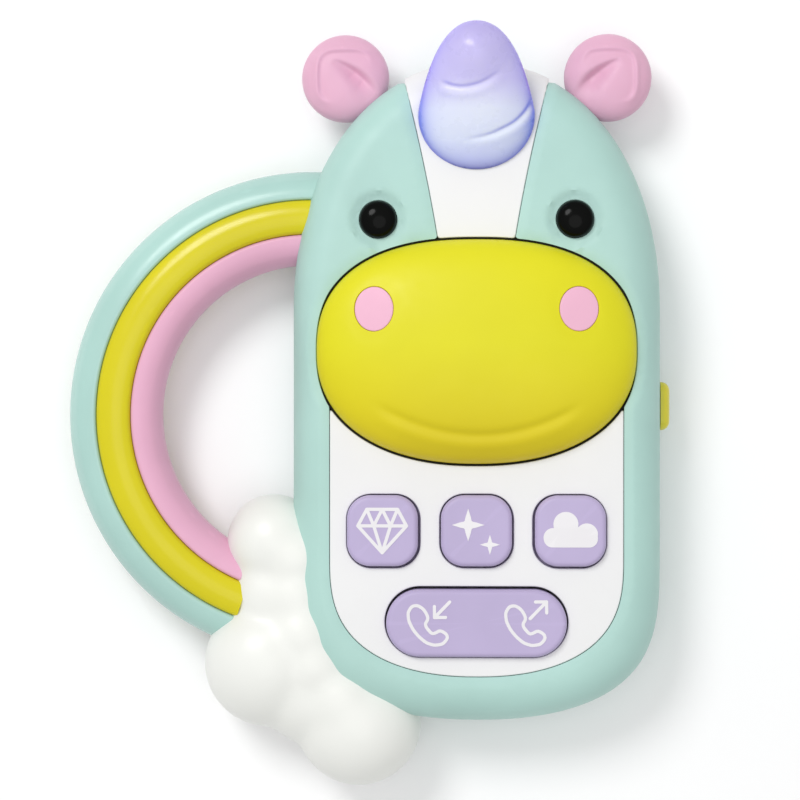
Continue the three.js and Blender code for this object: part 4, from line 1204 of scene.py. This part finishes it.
def screw(node, body, x, y, seat, tip):
    """Cross-head screw, driven from behind: a domed head, a cross slot and a threaded shank."""
    under, pitch = seat - 0.3, 0.7
    face = under - 1.3
    turn = round_angles(64)
    rim = circle(turn)
    head = [(0.15, face), (0.6, face), (1.0, face), (1.35, face), (1.7, face + 0.02), (2.1, face + 0.14)]
    head += [(2.45, face + 0.42), (2.6, face + 0.8), (2.6, under), (1.1, under)]
    rings = []
    for radius, z in head:
        ring = at_height(rim * radius + [x, y], z)
        slot = clamped((0.42 - np.min(np.abs(rim), axis=1) * radius) / 0.12)
        if z < face + 0.1:
            ring[:, 2] += 0.75 * slot * clamped((1.75 - radius) / 0.25)
        rings.append(ring)
    for z in np.arange(seat, tip - 0.8, pitch / 6):
        wave = 0.5 + 0.5 * np.cos(turn - 2 * math.pi * z / pitch)
        rings.append(at_height(rim * (0.85 + 0.25 * wave)[:, None] + [x, y], z))
    rings.append(at_height(rim * 0.2 + [x, y], tip))
    piece(node, stacked(rings), "steel", body)


# radius and place along a cell: the bare end, the wrap and the nub
CELL = [
    (2.4, 0.0), (4.7, 0.0), (4.9, 0.25), (5.2, 0.6), (5.2, 42.9), (4.9, 43.3), (4.6, 43.45), (2.2, 43.5),
    (1.9, 43.6), (1.9, 44.3), (1.7, 44.5),
]
CELL_SPREAD, CELL_Z, WRAP = 5.6, 8.3, (0.4, 43.2)
CELL_START = BAY["half"][0] - 1.2 - CELL[-1][1]  # its nub ends 1.2 mm short of the bay's wall


def batteries():
    """Two cells side by side, head to tail, each with a printed wrap, bare ends and a nub."""
    turn = round_angles(56)
    for row, label in ((1, "upper"), (-1, "lower")):
        y, start = DOOR["y"] + row * CELL_SPREAD, row * CELL_START
        rings = []
        for radius, along in CELL:
            x = np.full(len(turn), start + row * along)
            across = y + row * radius * np.cos(turn)
            rings.append(np.column_stack([x, across, CELL_Z + radius * np.sin(turn)]))
        cell = piece("battery_" + label, stacked(rings), "cell_wrap")
        cell.data.materials.append(MATERIALS["steel"])
        for polygon in cell.data.polygons:
            along = (polygon.center.x / MM - start) * row
            polygon.material_index = int(along < WRAP[0] or along > WRAP[1])


# ---- assembly ----
front_cover()
face_plate()
snout_button()
snout_seal()
keys()
eyes()
ears()
horn()
grip()
cloud()
switch_knob()
back_cover()
battery_door()
batteries()
for number, (screw_x, screw_y) in enumerate(SCREWS):
    screw("case_screw_%d" % (number + 1), "case", screw_x, screw_y, 3.0, 19.5)
screw("battery_door_screw", "battery_door_screw", 0, DOOR["lug_y"], 1.5, 5.5)

# hidden pieces that keep their CAD shape, by material
CARRIED = {
    "silicone_grey": [
        "keypad_membrane", "gem_key_dome", "sparkle_key_dome", "cloud_key_dome", "call_key_dome_left",
        "call_key_dome_right",
    ],
    "board_green": ["circuit_board", "horn_led_board"],
    "chip_black": ["sound_chip", "snout_switch", "switch_slider"],
    "spring_steel": [
        "snout_spring_left", "snout_spring_right", "battery_spring_upper", "battery_spring_lower",
    ],
    "steel": ["power_switch", "battery_contact_positive", "battery_contact_negative", "battery_bridge"],
    "speaker_frame": ["speaker_driver"],
    "speaker_cone": ["speaker_cone"],
    "led_clear": ["horn_led"],
    "wire_red": ["speaker_lead_red", "led_lead_red"],
    "wire_black": ["speaker_lead_black", "led_lead_black"],
}
for slot_name, node_names in CARRIED.items():
    for node_name in node_names:
        node = frame["nodes"][node_name]
        node.data.materials.clear()
        node.data.materials.append(MATERIALS[slot_name])


# ---- studio ----
def turned_towards(obj, place, target):
    """Puts a camera or light at a place, pointing at the target with +Y of the frame upwards in its view."""
    back = (Vector(place) - Vector(target)).normalized()
    right = Vector((0, 1, 0)).cross(back).normalized()
    up = back.cross(right)
    turn = Matrix((right, up, back)).transposed().to_4x4()
    obj.matrix_world = Matrix.Translation(place) @ turn


def area_light(name, place, size, energy):
    light = bpy.data.lights.new(name, "AREA")
    light.shape, light.size, light.energy = "DISK", size, energy
    turned_towards(linked(name, light), place, (0, 0, 0.015))


def floor():
    nodes = Nodes(bpy.data.materials.new("pale table"))
    stops = [(0.3, (0.97, 0.97, 0.975, 1)), (0.7, (0.985, 0.985, 0.985, 1))]
    nodes.set(Base_Color=nodes.ramp(nodes.noise(12, 2.0), stops), Roughness=0.7)
    mesh = bpy.data.meshes.new("table")
    half, z = 3.0, -0.0002
    square = [(-half, -half, z), (half, -half, z), (half, half, z), (-half, half, z)]
    mesh.from_pydata(square, [], [(0, 1, 2, 3)])
    mesh.materials.append(nodes.owner)
    linked("table", mesh)


def world():
    """Pale room, brighter overhead than at the sides."""
    nodes = Nodes(bpy.data.worlds.new("pale room"), "Background")
    place = nodes.add("ShaderNodeTexCoord").outputs["Generated"]
    height = nodes.add("ShaderNodeSeparateXYZ", Vector=place).outputs["Z"]
    nodes.set(Strength=nodes.ranged(height, 0.0, 1.0, 0.43, 0.76), Color=(1, 1, 1, 1))
    bpy.context.scene.world = nodes.owner


floor()
world()
area_light("key light", (-0.35, 0.45, 0.75), 0.36, 3.45)
area_light("overhead light", (0.05, -0.1, 0.95), 0.7, 1.3)

camera = bpy.data.cameras.new("camera")
camera.lens, camera.sensor_width = 108.0, 36.0
camera_object = linked("camera", camera)
turned_towards(camera_object, Vector((0, 0, 0.614)), Vector((-0.0191, -0.0019, 0.014)))
bpy.context.scene.camera = camera_object


def corners(pair):
    return [list(pair[0]), list(pair[1])]


bpy.context.scene.view_settings.view_transform = "Standard"
